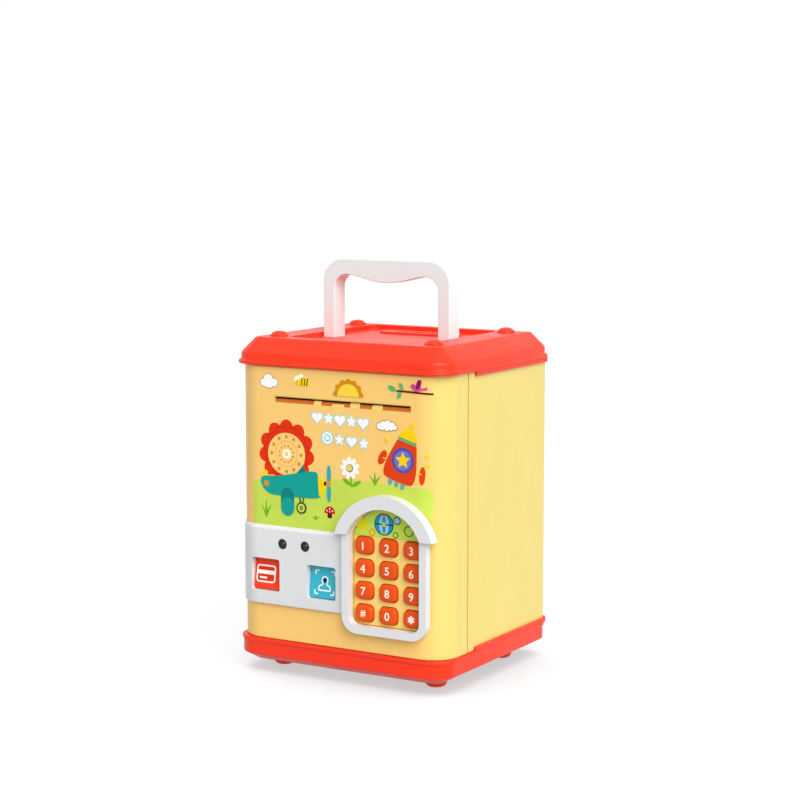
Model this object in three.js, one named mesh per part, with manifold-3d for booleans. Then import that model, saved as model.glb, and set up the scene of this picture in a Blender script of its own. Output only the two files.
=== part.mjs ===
// Toy cash machine: a money box with a keypad, a banknote feeder and a hinged front door.
// Millimetres, +Z up, the front faces -Y, the origin is on the floor under the centre of the toy.
import * as THREE from "three";
import { mergeVertices } from "three/addons/utils/BufferGeometryUtils.js";
import Module from "manifold-3d";

const wasm = await Module();
wasm.setup();

// ---- Driving dimensions -------------------------------------------------------------------------

const BODY_WIDTH = 135;
const FRONT_Y = -58.45;
const BACK_Y = 63.05;
const WALL = 2.4;
const FIT = 0.3; // gap between pieces that fit together
const TOUCH = 0.05; // gap between pieces that rest on each other
const OVER = 1; // how far a cut runs past a face, or a piece into the one it is joined to
const THROUGH = 20; // how far a cut runs when nothing is in its way

const DOOR_CORNER_R = 16.5;
const BODY_CORNER_R = 4;
const SEAM_Y = -32;
const SEAM_HALF_GAP = 0.3;
const DOOR_BOTTOM_Z = 19.9;
const DOOR_TOP_Z = 173.9;

const TRIM = { bottomZ: 5.2, baseWallZ: 9.8, baseRimZ: 17.4, baseTopZ: 19.5, baseSkirtZ: 21.8, baseRimOut: 1.5,
  lidSkirtZ: 171.7, lidBottomZ: 174.3, lidRimZ: 176.3, lidWallZ: 180.6, lidTopZ: 189, lidRimOut: 2.4,
  wallOut: 0.8, skirtOut: 1.1, skirtGap: 0.2, skirtFrontY: -24.5, chamfer: 8.4, frontR: 13, backR: 8.8 };
const HOLLOW = { cornerCut: 3, lidIn: 4, lidUp: 3.6, baseIn: 5.5, baseUp: 3.4 };
const FRONT_FRAME = { thickness: 3, sideBar: 7, endBar: 8, endGap: 1, outerR: 1, innerR: 1.5 };

const RECESS = { halfX: 42.5, frontY: -42.7, backY: 49.3, r: 6, depth: 2.7 };
const COIN_SLOT = { y: 32.3, length: 34, width: 3.4, surroundLength: 52, surroundWidth: 12, surroundR: 5.5,
  surroundHeight: 1.2 };
const CAP = { x: 50, frontY: -39, backY: 44, r: 5.3, height: 2.8, rim: 0.7 };
const FOOT = { x: 50, frontY: -35.7, backY: 40.3, r: 6, flare: 1.5 };

const HANDLE = { halfX: 41.4, legX: 7.5, frontY: -6.7, backY: 4.8, topZ: 231.3, barZ: 8.8, bulge: 4.2,
  outerR: 13, innerR: 8, footZ: 168, footHeight: 3.4, footOut: 2, edge: 1.2 };
const GUIDE = { clearance: 0.4, wall: 1.6, bottomZ: 172.2 };

const HINGE = { r: 5, pinR: 1.5, boreR: 1.7, pinInDoor: 8.5, pinInTrim: 6, bossR: 3.6, bossInLid: 0.9 };
const PIVOT_X = -BODY_WIDTH / 2 + HINGE.r + 0.1;
const PIVOT_Y = SEAM_Y - SEAM_HALF_GAP - HINGE.r;

const NOTE_SLOT = { x: 3.2, length: 87.5, z: 155.7, height: 3.2 };
const LABEL = { leftX: -66.4, rightX: 60, backY: -48.4, edgeZ: 0.4, out: 0.35, slotMargin: 0.5 };
const LINER = { gap: 0.1, thickness: 1.6, hingeGap: 0.9, slotMargin: 1.4 };
const PANEL = { bottomZ: 40, topZ: 84.7, rightX: 5.7, leftBackY: -47.7, proud: 2.25, sideProud: 0.3,
  sleeve: 1.2, sleeveBack: 6.4 };
const POCKETS = [
  { name: "deposit_key", x0: -55.5, x1: -36.5, z0: 47.4, z1: 65.9 },
  { name: "face_key", x0: -18.3, x1: 0.5, z0: 46.3, z1: 65.1 },
];
const POCKET_KEY = { topDepth: 4.5, bottomDepth: 2, back: 6 };
const LENS = { xs: [-34.5, -19.6], z: 75, r: 2.7, proud: 0.5, seat: 0.8 };

const KEYPAD = { x: 32.7, halfX: 26.65, bottomZ: 30.7, springZ: 85.5, frameUp: 0.6, band: 4.3, frameProud: 5,
  hoodProud: 7, cornerR: 9.5, topR: 1.2, archX: 33.3, archZ: 76.5, archOuterR: 31.9, archInnerR: 24.6,
  edge: 0.8, plateDepth: 1.5, plateThickness: 2, labelUp: 0.8, labelThickness: 0.3 };
const KEY = { pitchX: 15.25, pitchZ: 12.55, firstX: 17.4, firstZ: 79, width: 11.3, height: 9.7, r: 2.4,
  proud: 1, edge: 0.7, flange: 0.6, flangeThickness: 0.9 };
const BOARD = { front: 7.6, thickness: 1.6, x0: 8, x1: 57, z0: 33, z1: 87 };

const FEED = { y: -45, shaftZ: 162.3, shaftR: 1.5, shaftOut: 0.8, leftX: -48, rightX: 54.5, rollerR: 7.8,
  rollerLength: 10, rollerXs: [-28, 3.2, 34], boreR: 1.7 };
const CHEEK = { thickness: 2, halfY: 7.5, down: 5, up: 6, belowMotor: 7 };
const NOTE_GUIDE = { topZ: 153.9, thickness: 2, backGap: 2 };
const IDLER = { pinR: 1.2, pinLength: 4.8 };
const GEARS = { module: 0.7, teeth: 20, pinionTeeth: 8, x: 55.5, thickness: 3, tipHeight: 0.9, rootDepth: 1.15,
  toothShare: 0.315, tipShare: 0.15 };
const MOTOR = { r: 8, length: 25, flat: 6.4, shaftR: 1, shaftIn: 3, shaftOut: 0.5, boreR: 1.2, boreDepth: 4,
  cheekBoreR: 1.6 };
const SPEAKER = { x: -30, z: 116, r: 18, coneR: 15, magnetR: 8, dishR: 7.2, thickness: 7,
  magnetDepth: 3.85, rim: 1.6, dish: 2.4 };

const LATCH = { z: 105, y: -39, halfY: 4.5, halfZ: 7, leftX: 40, rightX: 60, wall: 2, bolt: 2.6, endGap: 0.5,
  nose: 0.4 };
const STRIKE = { leftX: 61, thickness: 1.5, footLength: 3, frontY: -44, halfZ: 9 };

const BATTERY = { x: -2, r: 7, length: 49, pitch: 15.5, z: 50, y: 52, nubR: 2.6, nubLength: 1 };
const BATTERY_BOX = { halfX: 33, z0: 26, z1: 74, frontY: 42, wall: 1.6 };
const COVER = { thickness: 3.2, edge: 0.4, r: 1, headDepth: 1.8 };
const SCREW = { x: 29.2, z: 50, r: 1.2, headR: 2.6, headHeight: 1.4, length: 12, seat: 1.7, boreDepth: 14,
  crossReach: 2, crossHalf: 0.35 };

const CORNER_STEPS = 4;
const KEY_STEPS = 2;
const FRAME_STEPS = 3;
const HANDLE_STEPS = 6;
const ARCH_STEPS = 12;
const PIN_STEPS = 16;
const ROUND_STEPS = 20;

// ---- Colours ------------------------------------------------------------------------------------

function plastic(color, roughness = 0.35) {
  return new THREE.MeshStandardMaterial({ color, roughness, metalness: 0 });
}

const steel = new THREE.MeshStandardMaterial({ color: 0xb8bcc2, roughness: 0.35, metalness: 0.9 });
const yellow = plastic(0xfae28a);
const cream = plastic(0xfdcd80, 0.5);
const red = plastic(0xf9462f);
const lightGrey = plastic(0xe4e2e2);
const white = plastic(0xfbeeee, 0.25);
const keyOrange = plastic(0xeb6232);
const keyRed = plastic(0xe23428);
const keyBlue = plastic(0x40b0cd);
const green = plastic(0xcde164, 0.5);
const dark = plastic(0x2b2d33, 0.2);
const boardGreen = plastic(0x2f7d4a, 0.6);
const rubber = plastic(0x3a3a3c, 0.8);
const gearWhite = plastic(0xf2efe4, 0.5);

// ---- Shape helpers ------------------------------------------------------------------------------

function solid(geometry) {
  const bare = geometry.clone();
  bare.deleteAttribute("normal");
  bare.deleteAttribute("uv");
  const merged = mergeVertices(bare, 1e-4);
  return new wasm.Manifold(
    new wasm.Mesh({
      numProp: 3,
      vertProperties: merged.attributes.position.array,
      triVerts: new Uint32Array(merged.index.array),
    }),
  );
}

function geometryOf(body) {
  const mesh = body.getMesh();
  const geometry = new THREE.BufferGeometry();
  geometry.setAttribute("position", new THREE.BufferAttribute(mesh.vertProperties.slice(), 3));
  geometry.setIndex(new THREE.BufferAttribute(mesh.triVerts.slice(), 1));
  const faceted = geometry.toNonIndexed();
  faceted.computeVertexNormals();
  return faceted;
}

function box(x0, x1, y0, y1, z0, z1) {
  const geometry = new THREE.BoxGeometry(x1 - x0, y1 - y0, z1 - z0);
  return solid(geometry.translate((x0 + x1) / 2, (y0 + y1) / 2, (z0 + z1) / 2));
}

function rodZ(x, y, r, z0, z1, steps = ROUND_STEPS) {
  const geometry = new THREE.CylinderGeometry(r, r, z1 - z0, steps).rotateX(Math.PI / 2);
  return solid(geometry.translate(x, y, (z0 + z1) / 2));
}

function rodX(y, z, r, x0, x1, steps = ROUND_STEPS) {
  const geometry = new THREE.CylinderGeometry(r, r, x1 - x0, steps).rotateZ(Math.PI / 2);
  return solid(geometry.translate((x0 + x1) / 2, y, z));
}

function rodY(x, z, r, y0, y1, steps = ROUND_STEPS) {
  return solid(new THREE.CylinderGeometry(r, r, y1 - y0, steps).translate(x, (y0 + y1) / 2, z));
}

// A rectangle with one radius on its low-v corners and another on its high-v corners.
function roundedRect(u0, u1, v0, v1, lowR, highR = lowR) {
  const shape = new THREE.Shape();
  shape.moveTo(u0 + lowR, v0);
  shape.lineTo(u1 - lowR, v0);
  shape.absarc(u1 - lowR, v0 + lowR, lowR, -Math.PI / 2, 0, false);
  shape.lineTo(u1, v1 - highR);
  shape.absarc(u1 - highR, v1 - highR, highR, 0, Math.PI / 2, false);
  shape.lineTo(u0 + highR, v1);
  shape.absarc(u0 + highR, v1 - highR, highR, Math.PI / 2, Math.PI, false);
  shape.lineTo(u0, v0 + lowR);
  shape.absarc(u0 + lowR, v0 + lowR, lowR, Math.PI, Math.PI * 1.5, false);
  return shape;
}

// A plan outline pulled straight up from z0 to z1; the chamfer narrows both ends.
function column(shape, z0, z1, chamferIn = 0, chamferUp = 0) {
  const geometry = new THREE.ExtrudeGeometry(shape, {
    depth: z1 - z0 - 2 * chamferUp,
    bevelEnabled: chamferIn > 0,
    bevelSize: chamferIn,
    bevelOffset: -chamferIn,
    bevelThickness: chamferUp,
    bevelSegments: 1,
    curveSegments: CORNER_STEPS,
  });
  return solid(geometry.translate(0, 0, z0 + chamferUp));
}

// A front-view outline (x, z) pulled back from y0 to y1; the edge bevel narrows both ends.
function slab(shape, y0, y1, edge = 0, steps = CORNER_STEPS) {
  const geometry = new THREE.ExtrudeGeometry(shape, {
    depth: y1 - y0 - 2 * edge,
    bevelEnabled: edge > 0,
    bevelSize: edge,
    bevelOffset: -edge,
    bevelThickness: edge,
    bevelSegments: 1,
    curveSegments: steps,
  });
  return solid(geometry.rotateX(Math.PI / 2).translate(0, y1 - edge, 0));
}

// The body's plan outline, grown outwards by `out`.
function bodyOutline(out, frontR, backR) {
  const half = BODY_WIDTH / 2 + out;
  return roundedRect(-half, half, FRONT_Y - out, BACK_Y + out, frontR, backR);
}

// The door's plan outline: flat front, two round corners and an open back at backY.
function doorOutline(out, backY) {
  const half = BODY_WIDTH / 2;
  const r = DOOR_CORNER_R;
  const centreY = FRONT_Y + r;
  const shape = new THREE.Shape();
  shape.moveTo(half + out, backY);
  shape.lineTo(-half - out, backY);
  shape.lineTo(-half - out, centreY);
  shape.absarc(-half + r, centreY, r + out, Math.PI, Math.PI * 1.5, false);
  shape.lineTo(half - r, FRONT_Y - out);
  shape.absarc(half - r, centreY, r + out, -Math.PI / 2, 0, false);
  return shape;
}

const group = new THREE.Group();
const caseGroup = new THREE.Group();
const doorGroup = new THREE.Group();
const feedGroup = new THREE.Group();
group.add(caseGroup, doorGroup);
doorGroup.add(feedGroup);

function add(parent, name, body, material, x = 0, y = 0, z = 0) {
  const mesh = new THREE.Mesh(geometryOf(body), material);
  mesh.name = name;
  mesh.position.set(x, y, z);
  parent.add(mesh);
  return mesh;
}

// ---- Case: body shell, front frame, lid and base ------------------------------------------------

function bodyShell() {
  const z0 = TRIM.baseTopZ + FIT;
  const z1 = TRIM.lidBottomZ - FIT;
  const innerX = BODY_WIDTH / 2 - WALL;
  const inner = roundedRect(-innerX, innerX, FRONT_Y, BACK_Y - WALL, 1, BODY_CORNER_R - WALL);
  const { halfX, z0: hatchZ0, z1: hatchZ1 } = BATTERY_BOX;
  return column(bodyOutline(0, 1, BODY_CORNER_R), z0, z1)
    .subtract(column(inner, z0 - THROUGH, z1 + THROUGH))
    .subtract(box(-BODY_WIDTH, BODY_WIDTH, FRONT_Y - THROUGH, SEAM_Y + SEAM_HALF_GAP, z0 - OVER, z1 + OVER))
    .subtract(box(-halfX, halfX, BACK_Y - THROUGH, BACK_Y + THROUGH, hatchZ0, hatchZ1));
}

function frontFrame() {
  const { thickness, sideBar, endBar, endGap, outerR, innerR } = FRONT_FRAME;
  const y0 = SEAM_Y + SEAM_HALF_GAP;
  const y1 = y0 + thickness;
  const halfX = BODY_WIDTH / 2 - WALL - FIT;
  const openX = halfX - sideBar;
  const z0 = TRIM.baseTopZ + endGap;
  const z1 = TRIM.lidBottomZ - endGap;
  return slab(roundedRect(-halfX, halfX, z0, z1, outerR), y0, y1)
    .subtract(slab(roundedRect(-openX, openX, z0 + endBar, z1 - endBar, innerR), y0 - OVER, y1 + OVER));
}

// The rim stands out all round; the skirt overlaps the sides and back only.
function trimBand(rimOut, rimZ0, rimZ1, skirtZ0, skirtZ1) {
  const { wallOut, skirtOut, skirtGap, skirtFrontY, frontR, backR } = TRIM;
  const step = rimOut - wallOut;
  const rim = column(bodyOutline(rimOut, frontR + step, backR + step), rimZ0, rimZ1);
  const outer = bodyOutline(skirtOut, frontR, BODY_CORNER_R + skirtOut);
  const inner = bodyOutline(skirtGap, 1, BODY_CORNER_R + skirtGap);
  const skirt = column(outer, skirtZ0, skirtZ1)
    .subtract(column(inner, skirtZ0 - OVER, skirtZ1 + OVER))
    .subtract(box(-BODY_WIDTH, BODY_WIDTH, FRONT_Y - THROUGH, skirtFrontY, skirtZ0 - OVER, skirtZ1 + OVER));
  return rim.add(skirt);
}

// The space inside the lid or the base; the chamfer narrows both of its ends.
function trimHollow(z0, z1, chamferIn, chamferUp) {
  const { cornerCut } = HOLLOW;
  const outline = bodyOutline(-WALL - FIT, TRIM.frontR - cornerCut, TRIM.backR - cornerCut);
  return column(outline, z0, z1, chamferIn, chamferUp);
}

function handleLegHole(side, grow, z0, z1) {
  const x0 = side > 0 ? HANDLE.halfX - HANDLE.legX : -HANDLE.halfX;
  return box(x0 - grow, x0 + HANDLE.legX + grow, HANDLE.frontY - grow, HANDLE.backY + grow, z0, z1);
}

function coinSurround(floorZ) {
  const { y, surroundLength, surroundWidth, surroundR, surroundHeight } = COIN_SLOT;
  const halfX = surroundLength / 2;
  const halfY = surroundWidth / 2;
  const outline = roundedRect(-halfX, halfX, y - halfY, y + halfY, surroundR);
  return column(outline, floorZ - OVER, floorZ + surroundHeight);
}

function coinSlot(z0, z1) {
  const { y, length, width } = COIN_SLOT;
  return box(-length / 2, length / 2, y - width / 2, y + width / 2, z0, z1);
}

function lid() {
  const { lidBottomZ, lidSkirtZ, lidRimZ, lidWallZ, lidTopZ, wallOut, frontR, backR, chamfer } = TRIM;
  const floorZ = lidTopZ - RECESS.depth;
  const hollowTopZ = floorZ - WALL;
  const aboveZ = lidTopZ + THROUGH;
  const chamferUp = lidTopZ - lidWallZ;
  const outline = bodyOutline(wallOut, frontR, backR);
  const crown = column(outline, lidBottomZ - 2 * chamferUp, lidTopZ, chamfer, chamferUp)
    .intersect(box(-BODY_WIDTH, BODY_WIDTH, -BODY_WIDTH, BODY_WIDTH, lidBottomZ, aboveZ));
  const recess = roundedRect(-RECESS.halfX, RECESS.halfX, RECESS.frontY, RECESS.backY, RECESS.r);
  let body = crown
    .add(trimBand(TRIM.lidRimOut, lidBottomZ, lidRimZ, lidSkirtZ, lidBottomZ + OVER))
    .subtract(trimHollow(lidSkirtZ - THROUGH, hollowTopZ, HOLLOW.lidIn, HOLLOW.lidUp))
    .subtract(column(recess, floorZ, aboveZ))
    .add(coinSurround(floorZ))
    .subtract(coinSlot(hollowTopZ - OVER, aboveZ))
    .add(rodZ(PIVOT_X, PIVOT_Y, HINGE.bossR, lidBottomZ, lidWallZ + HINGE.bossInLid))
    .subtract(rodZ(PIVOT_X, PIVOT_Y, HINGE.boreR, lidBottomZ - OVER, lidBottomZ + HINGE.pinInTrim + FIT));
  for (const side of [-1, 1]) {
    body = body.subtract(handleLegHole(side, GUIDE.clearance, hollowTopZ - OVER, aboveZ));
  }
  return body;
}

function baseTray() {
  const { bottomZ, baseWallZ, baseRimZ, baseTopZ, baseSkirtZ, wallOut, frontR, backR, chamfer } = TRIM;
  const chamferUp = baseWallZ - bottomZ;
  const boreZ = baseTopZ - HINGE.pinInTrim - FIT;
  return column(bodyOutline(wallOut, frontR, backR), bottomZ, baseTopZ + 2 * chamferUp, chamfer, chamferUp)
    .intersect(box(-BODY_WIDTH, BODY_WIDTH, -BODY_WIDTH, BODY_WIDTH, bottomZ - OVER, baseTopZ))
    .add(trimBand(TRIM.baseRimOut, baseRimZ, baseTopZ, baseTopZ - OVER, baseSkirtZ))
    .subtract(trimHollow(bottomZ + WALL, baseSkirtZ + THROUGH, HOLLOW.baseIn, HOLLOW.baseUp))
    .add(rodZ(PIVOT_X, PIVOT_Y, HINGE.bossR, baseWallZ, baseTopZ))
    .subtract(rodZ(PIVOT_X, PIVOT_Y, HINGE.boreR, boreZ, baseTopZ + OVER));
}

add(caseGroup, "body_shell", bodyShell(), yellow);
add(caseGroup, "front_frame", frontFrame(), yellow);
add(caseGroup, "lid", lid(), red);
add(caseGroup, "base_tray", baseTray(), red);

// A turned piece that stands on z = 0, from its outline as [radius, height] pairs.
function turned(profile) {
  const points = profile.map(([r, z]) => new THREE.Vector2(r, z));
  return solid(new THREE.LatheGeometry(points, ROUND_STEPS).rotateX(Math.PI / 2));
}

function lidCap() {
  const { r, height, rim } = CAP;
  return turned([[0, 0], [r, 0], [r, rim], [r * 0.82, height * 0.72], [r * 0.45, height * 0.95], [0, height]]);
}

function foot() {
  const { r, flare } = FOOT;
  const top = TRIM.bottomZ - TOUCH;
  return turned([[0, 0], [r * 0.72, 0], [r, flare], [r, top], [0, top]]);
}

[-1, 1].forEach((side, sideIndex) => {
  ["frontY", "backY"].forEach((edge, row) => {
    const number = 1 + sideIndex + 2 * row;
    add(caseGroup, `lid_cap_${number}`, lidCap(), red, side * CAP.x, CAP[edge], TRIM.lidTopZ + TOUCH);
    add(caseGroup, `foot_${number}`, foot(), red, side * FOOT.x, FOOT[edge], 0);
  });
});

// ---- Carrying handle and its guides -------------------------------------------------------------

function handle() {
  const { halfX, legX, frontY, backY, topZ, barZ, bulge, outerR, innerR, footZ, footHeight, footOut } = HANDLE;
  const { edge } = HANDLE;
  const innerX = halfX - legX;
  const underZ = topZ - barZ;
  const flatX = innerX / 2.2;
  const easeX = innerX / 2.4;
  const shape = new THREE.Shape();
  shape.moveTo(-halfX, footZ);
  shape.lineTo(-innerX, footZ);
  shape.lineTo(-innerX, underZ - innerR);
  shape.absarc(-innerX + innerR, underZ - innerR, innerR, Math.PI, Math.PI / 2, true);
  shape.bezierCurveTo(-flatX, underZ, -easeX, underZ - bulge, 0, underZ - bulge);
  shape.bezierCurveTo(easeX, underZ - bulge, flatX, underZ, innerX - innerR, underZ);
  shape.absarc(innerX - innerR, underZ - innerR, innerR, Math.PI / 2, 0, true);
  shape.lineTo(innerX, footZ);
  shape.lineTo(halfX, footZ);
  shape.lineTo(halfX, topZ - outerR);
  shape.absarc(halfX - outerR, topZ - outerR, outerR, 0, Math.PI / 2, false);
  shape.lineTo(-halfX + outerR, topZ);
  shape.absarc(-halfX + outerR, topZ - outerR, outerR, Math.PI / 2, Math.PI, false);
  let body = slab(shape, frontY, backY, edge, HANDLE_STEPS);
  for (const side of [-1, 1]) {
    const x0 = side > 0 ? innerX + edge : -halfX + edge;
    const x1 = x0 + legX - 2 * edge;
    body = body.add(box(x0, x1, frontY - footOut, backY + footOut, footZ + edge, footZ + footHeight));
  }
  return body;
}

function handleGuide(side) {
  const topZ = TRIM.lidTopZ - RECESS.depth - WALL - TOUCH;
  return handleLegHole(side, GUIDE.clearance + GUIDE.wall, GUIDE.bottomZ, topZ)
    .subtract(handleLegHole(side, GUIDE.clearance, GUIDE.bottomZ - OVER, topZ + OVER));
}

add(group, "handle", handle(), white);
add(caseGroup, "handle_guide_left", handleGuide(-1), lightGrey);
add(caseGroup, "handle_guide_right", handleGuide(1), lightGrey);

// ---- Batteries ----------------------------------------------------------------------------------

function screwRod(r, y0, y1) {
  return rodY(SCREW.x, SCREW.z, r, y0, y1, PIN_STEPS);
}

function batteryBox() {
  const { halfX, z0, z1, frontY, wall } = BATTERY_BOX;
  const backY = BACK_Y - WALL - TOUCH;
  return box(-halfX - wall, halfX + wall, frontY, backY, z0 - wall, z1 + wall)
    .subtract(box(-halfX, halfX, frontY + wall, backY + OVER, z0, z1))
    .add(screwRod(SCREW.headR, frontY + wall / 2, BACK_Y - COVER.thickness - FIT))
    .subtract(screwRod(SCREW.r + FIT, BACK_Y - SCREW.boreDepth, BACK_Y));
}

function batteryCover() {
  const { halfX, z0, z1 } = BATTERY_BOX;
  const { thickness, edge, r, headDepth } = COVER;
  const outline = roundedRect(-halfX + FIT, halfX - FIT, z0 + FIT, z1 - FIT, r);
  return slab(outline, BACK_Y - thickness, BACK_Y, edge, KEY_STEPS)
    .subtract(screwRod(SCREW.r + FIT, BACK_Y - thickness - OVER, BACK_Y + OVER))
    .subtract(screwRod(SCREW.headR + FIT, BACK_Y - headDepth, BACK_Y + OVER));
}

function coverScrew() {
  const { x, z, r, headR, headHeight, length, seat, crossReach, crossHalf } = SCREW;
  const headY = BACK_Y - seat;
  const crossY = headY + headHeight / 2;
  return screwRod(r, headY - length, headY + OVER)
    .add(screwRod(headR, headY, headY + headHeight))
    .subtract(box(x - crossReach, x + crossReach, crossY, BACK_Y, z - crossHalf, z + crossHalf))
    .subtract(box(x - crossHalf, x + crossHalf, crossY, BACK_Y, z - crossReach, z + crossReach));
}

function battery() {
  const { r, length, nubR, nubLength } = BATTERY;
  return rodX(0, 0, r, -length / 2, length / 2)
    .add(rodX(0, 0, nubR, length / 2 - OVER, length / 2 + nubLength, PIN_STEPS));
}

add(caseGroup, "battery_box", batteryBox(), dark);
add(caseGroup, "battery_cover", batteryCover(), yellow);
add(caseGroup, "battery_cover_screw", coverScrew(), steel);
for (const row of [-1, 0, 1]) {
  const name = `battery_${row + 2}`;
  add(caseGroup, name, battery(), steel, BATTERY.x, BATTERY.y, BATTERY.z + row * BATTERY.pitch);
}

// ---- Hinge pins and strike plate ----------------------------------------------------------------

const lowPin = [TRIM.baseTopZ - HINGE.pinInTrim, DOOR_BOTTOM_Z + HINGE.pinInDoor - FIT];
const highPin = [DOOR_TOP_Z - HINGE.pinInDoor + FIT, TRIM.lidBottomZ + HINGE.pinInTrim];
add(caseGroup, "hinge_pin_bottom", rodZ(PIVOT_X, PIVOT_Y, HINGE.pinR, ...lowPin), steel);
add(caseGroup, "hinge_pin_top", rodZ(PIVOT_X, PIVOT_Y, HINGE.pinR, ...highPin), steel);

function strikePlate() {
  const { leftX, thickness, footLength, frontY, halfZ } = STRIKE;
  const rightX = leftX + thickness;
  const backY = SEAM_Y + SEAM_HALF_GAP - TOUCH;
  const z0 = LATCH.z - halfZ;
  const z1 = LATCH.z + halfZ;
  const { y, z } = LATCH;
  const reach = LATCH.bolt + 2 * FIT;
  return box(leftX - footLength, rightX, backY - thickness, backY, z0, z1)
    .add(box(leftX, rightX, frontY, backY, z0, z1))
    .subtract(box(leftX - THROUGH, leftX + THROUGH, y - reach, y + reach, z - reach, z + reach));
}

add(caseGroup, "strike_plate", strikePlate(), steel);

// ---- Door shell and its back liner --------------------------------------------------------------

const DOOR_BACK_Y = SEAM_Y - SEAM_HALF_GAP;
const PLATE_FRONT_Y = FRONT_Y + KEYPAD.plateDepth;

// The keypad outlines: a frame with round bottom corners under a wider arch-shaped hood.
function keypadFrame(inset, topZ) {
  const { x, halfX, bottomZ, cornerR, topR } = KEYPAD;
  const lowR = Math.max(cornerR - inset, 1);
  return roundedRect(x - halfX + inset, x + halfX - inset, bottomZ + inset, topZ, lowR, topR);
}

function keypadArch(r) {
  const { archX, archZ, springZ } = KEYPAD;
  const start = Math.asin((springZ - archZ) / r);
  const shape = new THREE.Shape();
  shape.absarc(archX, archZ, r, start, Math.PI - start, false);
  shape.closePath();
  return shape;
}

// The window inside the keypad frame, grown outwards by `grow`.
function keypadWindow(grow, y0, y1) {
  const { band, archInnerR, springZ, frameUp } = KEYPAD;
  return slab(keypadFrame(band - grow, springZ + frameUp), y0, y1, 0, FRAME_STEPS)
    .add(slab(keypadArch(archInnerR + grow), y0, y1, 0, ARCH_STEPS));
}

function pocketBox(pocket, grow, y0, y1) {
  return box(pocket.x0 - grow, pocket.x1 + grow, y0, y1, pocket.z0 - grow, pocket.z1 + grow);
}

function noteSlot(y0, y1, grow = 0) {
  const { x, length, z, height } = NOTE_SLOT;
  const halfX = length / 2 + grow;
  const halfZ = height / 2 + grow;
  return box(x - halfX, x + halfX, y0, y1, z - halfZ, z + halfZ);
}

function doorShell() {
  const z0 = DOOR_BOTTOM_Z;
  const z1 = DOOR_TOP_Z;
  const innerY = FRONT_Y + WALL + OVER;
  const sleeveY = FRONT_Y + PANEL.sleeveBack + OVER;
  let body = column(doorOutline(0, DOOR_BACK_Y), z0, z1)
    .subtract(box(-BODY_WIDTH, PIVOT_X, PIVOT_Y, DOOR_BACK_Y + OVER, z0 - OVER, z1 + OVER))
    .subtract(column(doorOutline(-WALL, DOOR_BACK_Y + THROUGH), z0 + WALL, z1 - WALL))
    .add(rodZ(PIVOT_X, PIVOT_Y, HINGE.r, z0, z1))
    .subtract(rodZ(PIVOT_X, PIVOT_Y, HINGE.boreR, z0 - OVER, z0 + HINGE.pinInDoor))
    .subtract(rodZ(PIVOT_X, PIVOT_Y, HINGE.boreR, z1 - HINGE.pinInDoor, z1 + OVER))
    .subtract(noteSlot(FRONT_Y - OVER, innerY))
    .subtract(keypadWindow(FIT, FRONT_Y - OVER, innerY));
  for (const pocket of POCKETS) {
    body = body.subtract(pocketBox(pocket, PANEL.sleeve + FIT, FRONT_Y - OVER, sleeveY));
  }
  return body;
}

function doorLiner() {
  const { gap, thickness, hingeGap, slotMargin } = LINER;
  const y1 = DOOR_BACK_Y - gap;
  const y0 = y1 - thickness;
  const leftX = PIVOT_X + HINGE.r + hingeGap;
  const rightX = BODY_WIDTH / 2 - WALL - FIT;
  const notchX = STRIKE.leftX - STRIKE.footLength - OVER;
  const notchZ = STRIKE.halfZ + OVER;
  return box(leftX, rightX, y0, y1, DOOR_BOTTOM_Z + WALL + FIT, DOOR_TOP_Z - WALL - FIT)
    .subtract(box(notchX, rightX + OVER, y0 - OVER, y1 + OVER, LATCH.z - notchZ, LATCH.z + notchZ))
    .subtract(noteSlot(y0 - OVER, y1 + OVER, slotMargin));
}

add(doorGroup, "door_shell", doorShell(), yellow);
add(doorGroup, "door_liner", doorLiner(), yellow);

// ---- Printed front label, sensor panel and its two keys -----------------------------------------

// A skin that follows the door's outline, between two distances out from it, as far back as backY.
function doorSkin(low, high, backY, z0, z1) {
  return column(doorOutline(high, DOOR_BACK_Y), z0, z1)
    .subtract(column(doorOutline(low, DOOR_BACK_Y + OVER), z0 - OVER, z1 + OVER))
    .subtract(box(-BODY_WIDTH, BODY_WIDTH, backY, 0, z0 - OVER, z1 + OVER));
}

// The label goes further round the door's left corner than round its right one. It lies under the sensor
// panel and the keypad bezel, with a window for each thing behind it.
function frontLabel() {
  const { leftX, rightX, backY, edgeZ, out, slotMargin } = LABEL;
  const z0 = DOOR_BOTTOM_Z + edgeZ;
  const z1 = DOOR_TOP_Z - edgeZ;
  let body = doorSkin(TOUCH, out, backY, z0, z1)
    .intersect(box(leftX, rightX, FRONT_Y - THROUGH, FRONT_Y + THROUGH, z0 - OVER, z1 + OVER))
    .subtract(noteSlot(FRONT_Y - OVER, FRONT_Y + OVER, slotMargin))
    .subtract(keypadWindow(FIT, FRONT_Y - OVER, FRONT_Y + OVER));
  for (const pocket of POCKETS) {
    body = body.subtract(pocketBox(pocket, PANEL.sleeve + FIT, FRONT_Y - OVER, FRONT_Y + THROUGH));
  }
  return body;
}

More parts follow.
